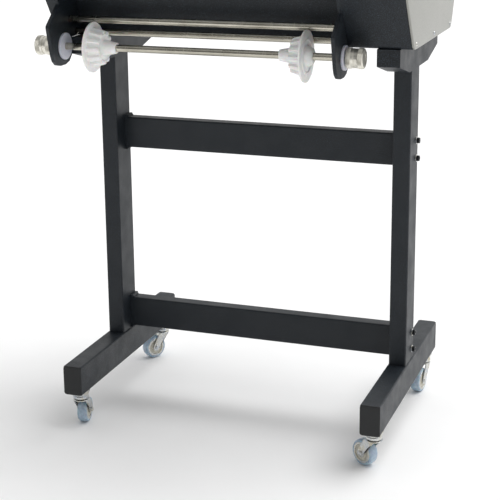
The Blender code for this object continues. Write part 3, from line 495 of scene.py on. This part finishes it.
def refinish_nodes():
    """Every CAD node that stays gets the real finish of its slot."""
    for node in frame["nodes"].values():
        for material_slot in node.material_slots:
            material_slot.material = SLOT_FINISHES[material_slot.material.name.split(".")[0]]


# ---- stand ----
def hexagon(radius, angle, key, inside=True):
    """Radii at most the key's (inside) or above it become a hexagon: r cos 30 over the cosine of the
    angle from the nearest flat's middle."""
    flat = radius * math.cos(math.pi / 6) / np.cos(np.mod(angle, math.pi / 3) - math.pi / 6)
    return np.where((radius <= key) == inside, flat, radius)


def cap_screw(radius, height, key, depth):
    """A socket head cap screw's head, its seat at 0, with a hexagon socket in its top."""
    profile = [(-0.002, 0), (-0.002, radius * 0.6), (0, radius * 0.6), (0, radius), (height, radius),
               (height, key), (height - depth, key), (height - depth, 0)]
    ease = [0, 0, 0, 0.0003, 0.0009, 0.0002, 0, 0]
    return turned(open_profile(profile, ease), 48, lambda along, r, t: hexagon(r, t, key * 1.01))


def button_screw(radius):
    """A domed cover screw with a hexagon socket, its seat at 0."""
    key = radius * 0.45
    profile = [(-0.001, 0), (-0.001, radius * 0.5), (0, radius * 0.5), (0, radius),
               (radius * 0.28, radius * 0.93), (radius * 0.52, key * 1.5), (radius * 0.55, key),
               (radius * 0.15, key), (radius * 0.15, 0)]
    ease = [0, 0, 0, 0, radius * 0.3, radius * 0.2, 0, 0, 0]
    return turned(open_profile(profile, ease), 36, lambda along, r, t: hexagon(r, t, key * 1.01))


def make_bolts():
    """The crossbar bolts: a black cap screw on a bright washer, on the outside of each upright."""
    head = cap_screw(0.0065, 0.0065, 0.0031, 0.004)
    thick, hole, rim = 0.0015, 0.0043, 0.0085
    washer = softened([(0, hole), (0, rim), (thick, rim), (thick, hole)], 0.0004)
    washer = turned(washer, 48, bored=True)
    left_heads, left_washers = [], []
    left_face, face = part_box("left_upright")[0].x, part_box("right_upright")[1].x
    for node in ("lower_crossbar_bottom_bolt", "lower_crossbar_top_bolt",
                 "upper_crossbar_bottom_bolt", "upper_crossbar_top_bolt"):
        low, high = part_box(node)
        y, z = (low.y + high.y) / 2, (low.z + high.z) / 2
        place = (face + GAP / 2, y, z)
        stem = turned([(low.x - face, 0), (low.x - face, 0.004), (0, 0.004), (0, 0)], 32)
        piece(f"{node}_washer", aimed(washer, place, X), ZINC, replaces=[node])
        seat = (face + thick + GAP, y, z)
        screw = together(aimed(head, seat, X), aimed(stem, seat, X))
        piece(f"{node}_cap_screw", screw, BLACK_OXIDE, replaces=[node])
        left_washers.append(aimed(washer, (left_face - GAP / 2, y, z), -X))
        left_heads.append(aimed(head, (left_face - thick - GAP, y, z), -X))
    piece("left_crossbar_washers", together(*left_washers), ZINC)
    piece("left_crossbar_cap_screws", together(*left_heads), BLACK_OXIDE)


def make_weld_beads():
    """A fillet along the top and the bottom of each crossbar where its end plate joins: a quarter
    round of about 4 mm whose radius ripples with each step of the torch, about 3 mm long."""
    beads = []
    for node in ("lower_crossbar", "upper_crossbar"):
        low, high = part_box(node)
        plate, lip = 0.006, 0.005
        along = np.linspace(low.y + 0.002, high.y - 0.002, 45)
        ripple = 1 + 0.16 * np.abs(np.sin(along / (3 * MM) * math.pi))
        fade = np.clip(np.minimum(along - along[0], along[-1] - along) / 0.003, 0, 1) ** 0.5 * 0.7 + 0.3
        size = (0.0042 * ripple * fade)[:, None]
        turn = np.linspace(0, math.pi / 2, 7)
        corner = np.array([[0, 0]]) - 0.0008
        bulge = np.stack([np.cos(turn), np.sin(turn)], 1) ** 1.3
        section = np.concatenate([corner, bulge])
        for x, way_x in ((low.x + plate, 1), (high.x - plate, -1)):
            for z, way_z in ((low.z + lip, -1), (high.z - lip, 1)):
                points = np.stack(
                    [
                        x + way_x * section[None, :, 0] * size,
                        np.repeat(along[:, None], len(section), 1),
                        z + way_z * section[None, :, 1] * size,
                    ],
                    -1,
                )
                beads.append(skinned(points))
    piece("crossbar_weld_beads", together(*beads), POWDER_COAT, sharp=60)


def make_foot_caps():
    """Push-in tube ends: a flange with rounded corners and a face that swells by about 1 mm, and
    a plug behind it. Over a quarter turn t from the rim, the face draws in by 10 mm times
    (1 - cos t)^1.2 and rises by its swell times (sin t)^0.7."""
    rim, plug, swell_in = 0.0016, 0.012, 0.010
    turn = np.linspace(0, math.pi / 2, 9)[1:]
    for side in ("left", "right"):
        for end, way in (("front", -1), ("rear", 1)):
            node = f"{side}_foot_{end}_cap"
            low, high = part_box(node)
            width, height = high.x - low.x, high.z - low.z
            tube_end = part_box(f"{side}_foot")[0 if way < 0 else 1].y
            seat = abs((low.y if way < 0 else high.y) - tube_end)
            swell = seat - 0.0002 - rim
            insets = np.concatenate([[0.003, 0.003, 0, 0], swell_in * (1 - np.cos(turn)) ** 1.2])
            heights = np.concatenate([[-plug, GAP, GAP, rim], rim + swell * np.sin(turn) ** 0.7])
            rings = []
            for inset, rise in zip(insets, heights):
                outline = rectangle(width - 2 * inset, height - 2 * inset, 0.007 - 0.5 * inset)
                rings.append(np.column_stack([outline, np.full(len(outline), rise)]))
            place = ((low.x + high.x) / 2, tube_end, (low.z + high.z) / 2)
            cap = aimed(skinned(np.array(rings)), place, way * Y)
            piece(f"{node}_moulding", cap, BLACK_PLASTIC, replaces=[node], sharp=40)


def make_casters():
    """Swivel casters: a bowl with its ball race under the foot, a pressed fork whose legs sweep
    back to the axle, and a wheel of tread, centre and race."""
    bowl = open_profile(
        [(0.0635, 0), (0.0635, 0.0062), (0.0657, 0.0062), (0.0657, 0.0040), (0.0688, 0.0040),
         (0.0688, 0.0150), (0.0715, 0.0186), (0.0770, 0.0186), (0.0785, 0.0172), (0.0800, 0.0186),
         (0.0862, 0.0190), (0.0877, 0.0218), (0.0917, 0.0218), (0.0917, 0.0050), (0.1140, 0.0050),
         (0.1157, 0.0036), (0.1157, 0)],
        [0, 0.0006, 0, 0, 0, 0.001, 0.002, 0.0008, 0.0008, 0.0008, 0.001, 0.0005, 0.0005, 0, 0, 0, 0],
    )
    crown = softened(
        [(0.0652, 0.0172), (0.0664, 0.0188), (0.0684, 0.0188), (0.0684, 0.0045), (0.0662, 0.0045),
         (0.0662, 0.0168)],
        [0.0003, 0.0008, 0.0008, 0, 0, 0],
    )
    leg = softened(
        [(-0.0125, 0.0672), (0.0165, 0.0672), (0.0290, 0.0470), (0.0378, 0.0300), (0.0340, 0.0222),
         (0.0270, 0.0202), (0.0190, 0.0225), (0.0160, 0.0300), (0.0080, 0.0455), (-0.0080, 0.0600)],
        [0.001, 0.002, 0.012, 0.010, 0.005, 0.005, 0.005, 0.010, 0.012, 0.006],
        6,
    )
    # the tread's running face bows by 1.5 mm across its width
    tread = softened(
        [(-0.0112, 0.0238), (-0.0118, 0.0270), (-0.0085, 0.0296), (0, 0.0302), (0.0085, 0.0296),
         (0.0118, 0.0270), (0.0112, 0.0238)],
        [0.0004, 0.0022, 0.004, 0.006, 0.004, 0.0022, 0.0004],
    )
    centre = softened(
        [(-0.0112, 0.0237), (-0.0116, 0.0206), (-0.0090, 0.0186), (-0.0086, 0.0125), (-0.0112, 0.0112),
         (-0.0112, 0.0060), (0.0112, 0.0060), (0.0112, 0.0112), (0.0086, 0.0125), (0.0090, 0.0186),
         (0.0116, 0.0206), (0.0112, 0.0237)],
        [0, 0.0008, 0.001, 0.001, 0.0008, 0, 0, 0.0008, 0.001, 0.001, 0.0008, 0],
    )
    race = softened(
        [(-0.0119, 0.0035), (-0.0119, 0.0092), (-0.0108, 0.0104), (0.0108, 0.0104), (0.0119, 0.0092),
         (0.0119, 0.0035)],
        [0, 0.0006, 0.0006, 0.0006, 0.0006, 0],
    )
    band = softened(
        [(-0.0120, 0.0196), (-0.0120, 0.0232), (-0.0112, 0.0240), (0.0112, 0.0240), (0.0120, 0.0232),
         (0.0120, 0.0196), (0.0092, 0.0190), (-0.0092, 0.0190)],
        [0.0004, 0.0006, 0.0003, 0.0003, 0.0006, 0.0004, 0.0003, 0.0003],
    )
    nut = open_profile(
        [(0, 0), (0, 0.0058), (0.0036, 0.0058), (0.0036, 0.0032), (0.0052, 0.0030), (0.0052, 0)],
        [0, 0, 0.0006, 0, 0.0006, 0],
    )
    nut = turned(nut, 48, lambda along, r, t: hexagon(r, t, 0.0040, inside=False))
    head = open_profile(
        [(0, 0), (0, 0.0055), (0.0018, 0.0052), (0.0030, 0.0030), (0.0030, 0)], [0, 0.0004, 0.0012, 0.001, 0]
    )
    head = turned(head, 36)
    leg_face, seat = 0.0156, 0.0001  # a leg's outer face from the wheel's middle, and the clearance
    # a leg is drawn in (trail, height), and its thickness lies along the axle
    drawn, faces = plated(leg, 0.0134, leg_face, 0.0006)
    for corner in ("left_front", "right_front", "left_rear", "right_rear"):
        swivel = np.array(JOINTS[f"{corner}_swivel"]["pos_m"], float) * [1, 1, 0]
        spin = JOINTS[f"{corner}_wheel_spin"]
        axle, across = np.array(spin["pos_m"], float), np.array(spin["axis"], float)
        trailing = axle * [1, 1, 0] - swivel
        race_bowl = aimed(turned(bowl, 72), swivel)
        mount = f"{corner}_caster_mount"
        piece(f"{corner}_caster_race_bowl", race_bowl, ZINC, replaces=[mount])
        unit = trailing / np.linalg.norm(trailing)
        middle = swivel + drawn[:, :1] * unit + drawn[:, 1:2] * Z
        legs = [(middle + way * drawn[:, 2:] * across, faces) for way in (1, -1)]
        ends = [
            aimed(nut, axle + (leg_face + seat) * across, across, Z),
            aimed(head, axle - (leg_face + seat) * across, -across, Z),
        ]
        fork = together(aimed(turned(crown, 72, bored=True), swivel), *legs)
        body, node = f"{corner}_fork", f"{corner}_caster_fork"
        piece(f"{corner}_caster_pressed_fork", fork, ZINC, body, [node], 40)
        pin = turned([(-leg_face, 0), (-leg_face, 0.003), (leg_face, 0.003), (leg_face, 0)], 24)
        pin = aimed(pin, axle, across, Z)
        piece(f"{corner}_caster_axle_bolt", together(*ends, pin), ZINC, body)
        wheel = f"{corner}_wheel"
        node = [f"{corner}_caster_wheel"]
        for part, profile, finish, slot in (
            ("tread", tread, TYRE, "polyurethane"),
            ("centre", centre, CREAM, None),
            ("rim_band", band, ZINC, "zinc"),
            ("bearing_race", race, STEEL, "polished_steel"),
        ):
            shape = aimed(turned(profile, 72, bored=True), axle, across, Z)
            piece(f"{corner}_caster_{part}", shape, finish, wheel, node)


# ---- film shafts ----
def chuck():
    """A core chuck from its hub end: a domed hub, a thin flange with a raised ring on its back, a
    step with 12 ribs that the film's core is pushed on to, and a tapered nose. Between the ribs
    the step's radius drops by 6 mm, and the change from rib to hollow follows
    tanh(4 (cos 12t - 0.1))."""
    profile = softened(
        [(0, 0.0083), (0, 0.0150), (0.0060, 0.0195), (0.0135, 0.0225), (0.0150, 0.0250), (0.0150, 0.0330),
         (0.0132, 0.0345), (0.0132, 0.0375), (0.0150, 0.0390), (0.0148, 0.0560), (0.0190, 0.0560),
         (0.0190, 0.0440), (0.0330, 0.0408), (0.0460, 0.0370), (0.0460, 0.0300), (0.0440, 0.0270),
         (0.0440, 0.0175), (0.0600, 0.0150), (0.0750, 0.0120), (0.0750, 0.0083)],
        [0, 0.001, 0.003, 0.002, 0.002, 0.0008, 0.0006, 0.0006, 0.0008, 0.0016, 0.0016, 0.0006, 0, 0.0016,
         0.0008, 0.0008, 0.002, 0, 0.0015, 0.0004],
    )

    def ribs(along, radius, angle):
        hollow = 0.5 - 0.5 * np.tanh(4 * (np.cos(12 * angle) - 0.1))
        on_step = np.clip((along - 0.0185) / 0.0010, 0, 1) * (radius < 0.050) * (radius > 0.031)
        return radius - 0.0060 * hollow * on_step

    return turned(profile, 288, ribs, bored=True)


def make_chucks():
    """Two chucks on each film shaft, their noses towards each other."""
    shape = chuck()
    for shaft in ("lower", "supply"):
        for side, way in (("left", 1), ("right", -1)):
            node = f"{side}_{shaft}_chuck"
            low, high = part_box(node)
            centre = (low + high) / 2
            start = (low.x if way > 0 else high.x, centre.y, centre.z)
            seated = aimed(shape, start, way * X, Z)
            piece(f"{node}_moulding", seated, NYLON, node, [node], 34)


def knurled(bands, teeth, depth):
    """Straight knurling: within each band along the axis the radius drops by depth times a
    triangle wave of that many teeth round it. The bore isn't knurled."""
    bore = 0.013

    def relief(along, radius, angle):
        wave = np.abs(np.mod(angle * teeth / (2 * math.pi), 1) * 2 - 1)
        inside = sum(((along >= low) & (along <= high)).astype(float) for low, high in bands)
        return radius - depth * wave * inside * (radius > bore)

    return relief


def make_tension_knobs():
    """Cup-shaped knobs on the ends of the film shaft, knurled at both ends. The knurl's pitch of
    1.5 mm is drawn at 2.5 mm."""
    edge = 0.022
    profile = [(0.0325, 0), (0.0325, 0.0083), (0, 0.0083), (0, 0.0196), (0.0012, edge), (0.0100, edge),
               (0.0104, 0.0208), (0.0170, 0.0208), (0.0172, 0.0196), (0.0192, 0.0196), (0.0194, 0.0208),
               (0.0256, 0.0208), (0.0260, edge), (0.0350, edge), (0.0375, 0.0192), (0.0375, 0.0120),
               (0.0366, 0.0110), (0.0366, 0)]
    ease = [0, 0, 0.0005, 0.0004, 0.0004, 0.0002, 0.0002, 0.0002, 0.0002, 0.0002, 0.0002, 0.0002, 0.0002,
            0.0008, 0.0008, 0.0006, 0.0004, 0]
    knurls = knurled([(0.0011, 0.0101), (0.0259, 0.0352)], 55, 0.0008)
    shape = turned(open_profile(profile, ease, 3), 220, knurls)
    for side, way in (("left", -1), ("right", 1)):
        node = f"{side}_tension_knob"
        low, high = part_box(node)
        centre = (low + high) / 2
        start = (high.x if way < 0 else low.x, centre.y, centre.z)
        seated = aimed(shape, start, way * X, Z)
        piece(f"{node}_turning", seated, CHAMPAGNE, node, [node], 28)


def bar(low, high, radius, reduced=0.0, reach=0.0):
    """A ground bar from low to high, with chamfered ends, and ends turned down where it seats."""
    corners = [(low, 0), (low, reduced or radius), (high, reduced or radius), (high, 0)]
    if reach:
        corners = [(low, 0), (low, reduced), (low + reach, reduced), (low + reach, radius),
                   (high - reach, radius), (high - reach, reduced), (high, reduced), (high, 0)]
    return turned(open_profile(corners, 0.0006, 2), 72)


def make_film_shaft():
    """The lower film shaft: the bar, its two brake discs, the stop collar and the two spacers."""
    node = "lower_film_shaft"
    low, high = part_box(node)
    y, z = (low.y + high.y) / 2, (low.z + high.z) / 2
    body, base = "film_shaft", (0, y, z)
    ground = aimed(bar(low.x, high.x, SHAFT_RADIUS), base, X, Z)
    piece("film_shaft_bar", ground, STEEL, body, [node])
    left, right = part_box("left_side_plate"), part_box("right_side_plate")
    inner_left, outer_left = left[1].x + GAP, left[0].x - GAP
    inner_right, outer_right = right[0].x - GAP, right[1].x + GAP
    disc_face, bore = outer_right + DISC, SHAFT_RADIUS - 0.0001
    rings = (
        ("left_brake_disc", inner_left, inner_left + DISC, 0.030, ACETAL, 0.0008),
        ("right_brake_disc", outer_right, disc_face, 0.0265, ACETAL, 0.0008),
        ("stop_collar", inner_right - 0.014, inner_right, 0.0105, ACETAL, 0.0006),
        ("left_spacer", outer_left - 0.0195, outer_left, 0.012, BLACK_PLASTIC, 0.0006),
        ("right_spacer", disc_face, disc_face + 0.0022, 0.012, BLACK_PLASTIC, 0.0003),
    )
    for name, start, end, radius, finish, ease in rings:
        ring = softened([(start, bore), (start, radius), (end, radius), (end, bore)], [0, ease, ease, 0])
        ring = aimed(turned(ring, 96, bored=True), base, X, Z)
        piece(f"film_shaft_{name}", ring, finish, body, [node])


def make_plain_bars():
    """The supply shaft, and the two guide bars with their ends turned down into the side plates."""
    for node, body, reduced, reach in (
        ("supply_shaft", "supply_shaft", 0, 0),
        ("lower_guide_bar", "frame", 0.005, 0.006),
        ("upper_guide_bar", "frame", 0.005, 0.006),
    ):
        low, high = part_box(node)
        base = (0, (low.y + high.y) / 2, (low.z + high.z) / 2)
        shape = aimed(bar(low.x, high.x, SHAFT_RADIUS, reduced, reach), base, X, Z)
        piece(f"{node}_ground", shape, STEEL, body, [node])


# ---- rollers and pressure ----
def make_rollers():
    """Each roller is a steel core with a silicone sleeve, ground with eased ends."""
    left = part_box("left_side_plate")[1].x + 0.010
    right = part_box("right_side_plate")[0].x - 0.010
    rubber, steel, journal = 0.0299, 0.0254, 0.0099
    core_left, core_right = left + 0.0015, right - 0.0015
    for node in ("lower_roller", "upper_roller"):
        low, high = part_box(node)
        base = (0, (low.y + high.y) / 2, (low.z + high.z) / 2)
        bore = steel + 0.0001
        sleeve = [(left, bore), (left, rubber), (right, rubber), (right, bore)]
        sleeve = turned(softened(sleeve, [0, 0.002, 0.002, 0]), 128, bored=True)
        piece(f"{node}_sleeve", aimed(sleeve, base, X, Z), SILICONE, node, [node])
        core = open_profile(
            [(low.x, 0), (low.x, journal), (core_left, journal), (core_left, steel), (core_right, steel),
             (core_right, journal), (high.x, journal), (high.x, 0)],
            [0, 0.001, 0.0005, 0.0005, 0.0005, 0.0005, 0.001, 0],
            3,
        )
        core = aimed(turned(core, 96), base, X, Z)
        piece(f"{node}_core", core, STEEL, node, [node])


def flutes(along, radius, angle):
    """Twelve scoops round a rim: the radius drops by 2.2 mm times the sixth power of sin 6t."""
    return radius - 0.0022 * np.abs(np.sin(6 * angle)) ** 6 * np.clip((radius - 0.0225) / 0.005, 0, 1)


def make_pressure_wheels():
    """Fluted hand wheels on steel spindles with a thread. Heights are from the hub's underside."""
    hub, bore, top_face, pitch = 0.0120, 0.0038, 0.0275, 0.0015
    wheel = np.array(
        [(0, bore), (0, hub), (0.010, hub), (0.010, 0.0270), (0.013, 0.0300), (0.023, 0.0300),
         (0.026, 0.0265), (0.0245, 0.0170), (top_face, hub), (top_face, bore)]
    )
    ease = [0, 0.0008, 0.002, 0.003, 0.002, 0.003, 0.003, 0.004, 0.001, 0]
    for side in ("left", "right"):
        node = f"{side}_pressure_wheel"
        low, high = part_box(node)
        centre = ((low.x + high.x) / 2, (low.y + high.y) / 2, 0)
        top = high.z
        seat = top - 0.029
        rim = turned(softened(wheel + [seat, 0], ease, 5), 240, flutes, bored=True)
        piece(f"{node}_rim", aimed(rim, centre), PHENOLIC, node, [node], 40)

        def thread(along, radius, angle):
            """A single ridge that climbs 1.5 mm a turn, coarser than a real thread of 1 mm."""
            ridge = np.abs(np.mod((along - angle / (2 * math.pi) * pitch) / pitch, 1) * 2 - 1)
            threaded = (along > low.z + 0.002) & (along < seat - 0.002) & (radius > 0.003)
            return radius - 0.0004 * ridge * threaded

        heights = np.arange(low.z + 0.001, seat, pitch / 4)
        stem = np.concatenate(
            [[(low.z, 0), (low.z, 0.0030)],
             np.column_stack([heights, np.full(len(heights), bore)]),
             [(seat + top_face, bore), (top - 0.0002, 0.0030), (top - 0.0002, 0)]]
        )
        spindle = aimed(turned(stem, 24, thread), centre)
        piece(f"{node}_spindle", spindle, STEEL, node, [node], 50)


# ---- covers and controls ----
# the head's side view: Y, and height above its base
HEAD_SIDE = [(-0.169, 0), (0.205, 0), (0.275, 0.129), (0.275, 0.219), (0.185, 0.319), (-0.175, 0.319),
             (-0.270, 0.209), (-0.270, 0.155)]


def make_end_panel():
    """The grey panel that closes the drive end, with its edge rolled over by 1.5 mm."""
    low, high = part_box("right_end_panel")
    outline = softened(HEAD_SIDE, COVER_EASE, 8) + [0, low.z]
    points, faces = plated(outline, low.x, high.x, 0.0015)
    sheet = (points[:, [2, 0, 1]], faces)
    piece("right_end_panel_sheet", sheet, ENAMEL, replaces=["right_end_panel"])


def make_cover_screws():
    """Button screws round the edge of each end cover, 11 mm in from it."""
    ring = drawn_in(softened(HEAD_SIDE, COVER_EASE, 8), 0.011)
    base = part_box("right_end_panel")[0].z
    # the third value says that the place is moved on to the edge's own line
    picks = [(-0.155, 0.011, False), (0.020, 0.011, False), (0.190, 0.011, False), (0.264, 0.170, True),
             (0.180, 0.308, False), (0.005, 0.308, False), (-0.170, 0.308, False), (-0.259, 0.180, True)]
    places = []
    for y, z, on_line in picks:
        nearest = ring[np.argmin(np.linalg.norm(ring - (y, z), axis=1))]
        places.append(nearest if on_line else (y, z))
    for side, face, way, finish in (
        ("right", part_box("right_end_panel")[1].x, 1, ZINC),
        ("left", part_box("left_end_cover")[0].x, -1, BLACK_OXIDE),
    ):
        screws = [aimed(button_screw(0.0042), (face, y, base + z), way * X, Z) for y, z in places]
        piece(f"{side}_cover_screws", together(*screws), finish)


def make_controls():
    """Controls on the sloping facet. Its frame: across is X, up runs up the slope, out faces the
    operator. The knob's joint gives a point on it."""
    speed = JOINTS["speed_turn"]
    out = -np.array(speed["axis"], float)
    out /= np.linalg.norm(out)
    up = np.cross(out, X)
    knob_at = np.array(speed["pos_m"], float)
    facet = knob_at + 0.026 * X - 0.026 * up
    face = 0.0036  # the panel's outer face above the facet

    def on_panel(x, y, height=0.0):
        return facet + x * X + y * up + height * out

    def ribs(along, radius, angle):
        grip = np.clip((along - face - 0.003) / 0.001, 0, 1) * (radius > 0.0105)
        return radius - 0.0009 * (0.5 + 0.5 * np.cos(18 * angle)) * grip

    knob = open_profile(
        [(face, 0), (face, 0.0160), (face + 0.0022, 0.0160), (face + 0.0034, 0.0146),
         (face + 0.0150, 0.0134), (face + 0.0174, 0.0110), (face + 0.0166, 0.0085), (face + 0.0166, 0)],
        [0, 0.0004, 0.0006, 0.0006, 0.0012, 0.0012, 0.0008, 0], 5,
    )
    grip = aimed(turned(knob, 216, ribs), knob_at, out, up)
    piece("speed_knob_grip", grip, PHENOLIC, "speed_knob", ["speed_knob"], 40)
    # the pointer starts at the dial's lowest mark, 135 degrees round from the top
    start = math.radians(135)
    pointing = math.cos(start) * up - math.sin(start) * X
    pointer = aimed(plated(rectangle(0.0014, 0.0075, 0.0004), 0, 0.0005, 0.0001),
                    knob_at + (face + 0.0164) * out + 0.0045 * pointing, out, np.cross(pointing, out))
    piece("speed_knob_pointer", pointer, INK, "speed_knob")
    marks = []
    for angle in np.radians(np.linspace(135, -135, 11)):
        ray = math.cos(angle) * up - math.sin(angle) * X
        mark = plated(rectangle(0.0010, 0.0034, 0.0002), 0, 0.0002)
        marks.append(aimed(mark, knob_at + (face - 0.0001) * out + 0.0205 * ray, out, np.cross(ray, out)))
    piece("speed_dial_marks", together(*marks), INK)

    stop_at = on_panel(0.026, 0.026)
    mushroom = open_profile(
        [(-0.0140, 0), (-0.0140, 0.0099), (0.0145, 0.0099), (0.0143, 0.0160), (0.0160, 0.0180),
         (0.0190, 0.0180), (0.0235, 0.0150), (0.0262, 0.0070), (0.0262, 0)],
        [0, 0.0006, 0.0008, 0.0008, 0.0012, 0.002, 0.004, 0.004, 0], 5,
    )
    head = aimed(turned(mushroom, 96), stop_at, out, up)
    piece("emergency_stop_head", head, RED, "emergency_stop", ["emergency_stop"])
    under, over = face - 0.0002, face + 0.0008
    plate = [(under, 0.0106), (under, 0.0200), (over, 0.0200), (over, 0.0106)]
    plate = turned(softened(plate, [0, 0.0002, 0.0004, 0]), 96, bored=True)
    piece("emergency_stop_yellow_ring", aimed(plate, stop_at, out, up), YELLOW)
    bezel = [(over, 0.0104), (over, 0.0150), (face + 0.0040, 0.0140), (face + 0.0048, 0.0104)]
    bezel = turned(softened(bezel, [0, 0.0006, 0.0010, 0.0003]), 96, bored=True)
    piece("emergency_stop_bezel", aimed(bezel, stop_at, out, up), BLACK_PLASTIC)
    corners = [aimed(button_screw(0.003), on_panel(x, y, face - 0.0003), out, up)
               for x in (-0.049, 0.049) for y in (-0.052, 0.052)]
    piece("control_panel_screws", together(*corners), BLACK_OXIDE)

    rim_at = on_panel(0.0, -0.030)
    outer, inner = rectangle(0.0210, 0.0305, 0.0020), rectangle(0.0142, 0.0252, 0.0006)
    frame_ring = aimed(ringed(outer, inner, under, face + 0.0014), rim_at, out)
    piece("direction_switch_bezel", frame_ring, BLACK_PLASTIC)


def ringed(outer, inner, low, high):
    """A flat ring between two outlines with the same number of points, with its outer top edge
    eased by 0.5 mm: the section goes round as inner low, outer low, outer high, inner high."""
    ease = 0.0005
    loops = [(inner, low), (outer, low), (outer, high - ease), (drawn_in(outer, ease), high), (inner, high)]
    rings = np.array([np.column_stack([loop, np.full(len(loop), height)]) for loop, height in loops])
    return skinned(rings, wrap=True)


def make_rear_fittings():
    """The frame round the main switch, and the two screws of the power inlet's flange."""
    low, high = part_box("main_switch")
    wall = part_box("drive_housing")[1].y
    outer, inner = rectangle(0.0200, 0.0300, 0.0020), rectangle(0.0140, 0.0250, 0.0006)
    place = ((low.x + high.x) / 2, wall, (low.z + high.z) / 2)
    bezel = aimed(ringed(outer, inner, -0.0002, 0.0018), place, Y, X)
    piece("main_switch_bezel", bezel, BLACK_PLASTIC)
    low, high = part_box("power_inlet")
    z = (low.z + high.z) / 2
    screws = [aimed(button_screw(0.0026), (x, high.y, z), Y, X) for x in (low.x + 0.0045, high.x - 0.0045)]
    piece("power_inlet_screws", together(*screws), ZINC)


# ---- setting ----
def make_floor():
    """A plain pale floor, slightly mottled over about 0.4 m so that it isn't dead flat."""
    outline = rectangle(30.0, 30.0, 0.5)
    rings = [np.column_stack([outline, np.full(len(outline), height)]) for height in (-0.01, 0.0)]
    points, faces = skinned(np.array(rings))
    mesh = bpy.data.meshes.new("studio_floor")
    mesh.from_pydata(points.tolist(), [], faces)
    material, tree, shader = bare("pale_matt_studio_floor", "#f4f4f4", 0.85, Specular_IOR_Level=0.1)
    shaded(tree, shader, grained(tree, 0.4), [(0.3, "#f2f2f2"), (0.7, "#f6f6f6")])
    mesh.materials.append(material)
    floor = bpy.data.objects.new("studio_floor", mesh)
    bpy.context.scene.collection.objects.link(floor)


def make_light():
    """White surroundings, dimmer on the operator's side, and a wide soft sun from above on the
    right and behind."""
    scene = bpy.context.scene
    world = bpy.data.worlds.new("studio")
    scene.world = world
    world.use_nodes = True
    tree = world.node_tree
    tree.nodes.clear()
    direction = add(tree, "TexCoord").outputs["Generated"]
    parts = add(tree, "SeparateXYZ", {"Vector": direction})
    back = add(tree, "Math", {0: parts.outputs["Y"], 1: 0.55, 2: 0.0}, operation="MULTIPLY_ADD")
    side = add(tree, "Math", {0: parts.outputs["X"], 1: 0.30, 2: back.outputs[0]}, operation="MULTIPLY_ADD")
    tall = add(tree, "Math", {0: parts.outputs["Z"], 1: 0.45, 2: side.outputs[0]}, operation="MULTIPLY_ADD")
    reach = {"Value": tall.outputs[0], "From Min": -0.6, "From Max": 0.8, "To Min": 0.12, "To Max": 1.0}
    level = add(tree, "MapRange", reach)
    seen = add(tree, "LightPath").outputs["Is Camera Ray"]
    strength = add(tree, "Mix", {0: seen, 2: level.outputs["Result"], 3: 1.0}, data_type="FLOAT")
    shine = add(tree, "Background", {"Color": (1, 1, 1, 1), "Strength": strength.outputs[0]})
    out = add(tree, "OutputWorld", {"Surface": shine.outputs[0]})
    out.is_active_output = True
    sun = bpy.data.lights.new("overhead_softbox", "SUN")
    sun.energy = 1.9
    sun.angle = math.radians(50)
    lamp = bpy.data.objects.new("overhead_softbox", sun)
    scene.collection.objects.link(lamp)
    lamp.rotation_euler = (math.radians(-14), math.radians(20), 0)
    scene.view_settings.view_transform = "Standard"


def make_camera():
    """Stands 3.1 m off, to the right of the front, a little above the head, looking down."""
    yaw, pitch, roll = 0.3600, -0.2565, -0.0136
    middle = (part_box("left_upright")[0].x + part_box("right_upright")[1].x) / 2
    place = (middle + 1.0272, -2.9344, 1.3352)
    forward = np.array([-math.sin(yaw) * math.cos(pitch), math.cos(yaw) * math.cos(pitch), math.sin(pitch)])
    right = np.array([math.cos(yaw), math.sin(yaw), 0])
    up = np.cross(right, forward)
    right, up = math.cos(roll) * right + math.sin(roll) * up, math.cos(roll) * up - math.sin(roll) * right
    data = bpy.data.cameras.new("camera")
    data.sensor_width = 36.0
    data.lens = 98.38
    data.shift_x, data.shift_y = 0.05, -0.10
    camera = bpy.data.objects.new("camera", data)
    bpy.context.scene.collection.objects.link(camera)
    camera.matrix_world = Matrix(np.column_stack([right, up, -forward]).tolist()).to_4x4()
    camera.location = place
    bpy.context.scene.camera = camera


refinish_nodes()
make_camera()
make_bolts()
make_weld_beads()
make_foot_caps()
make_casters()
make_chucks()
make_tension_knobs()
make_film_shaft()
make_plain_bars()
make_rollers()
make_pressure_wheels()
make_end_panel()
make_cover_screws()
make_controls()
make_rear_fittings()
make_floor()
make_light()
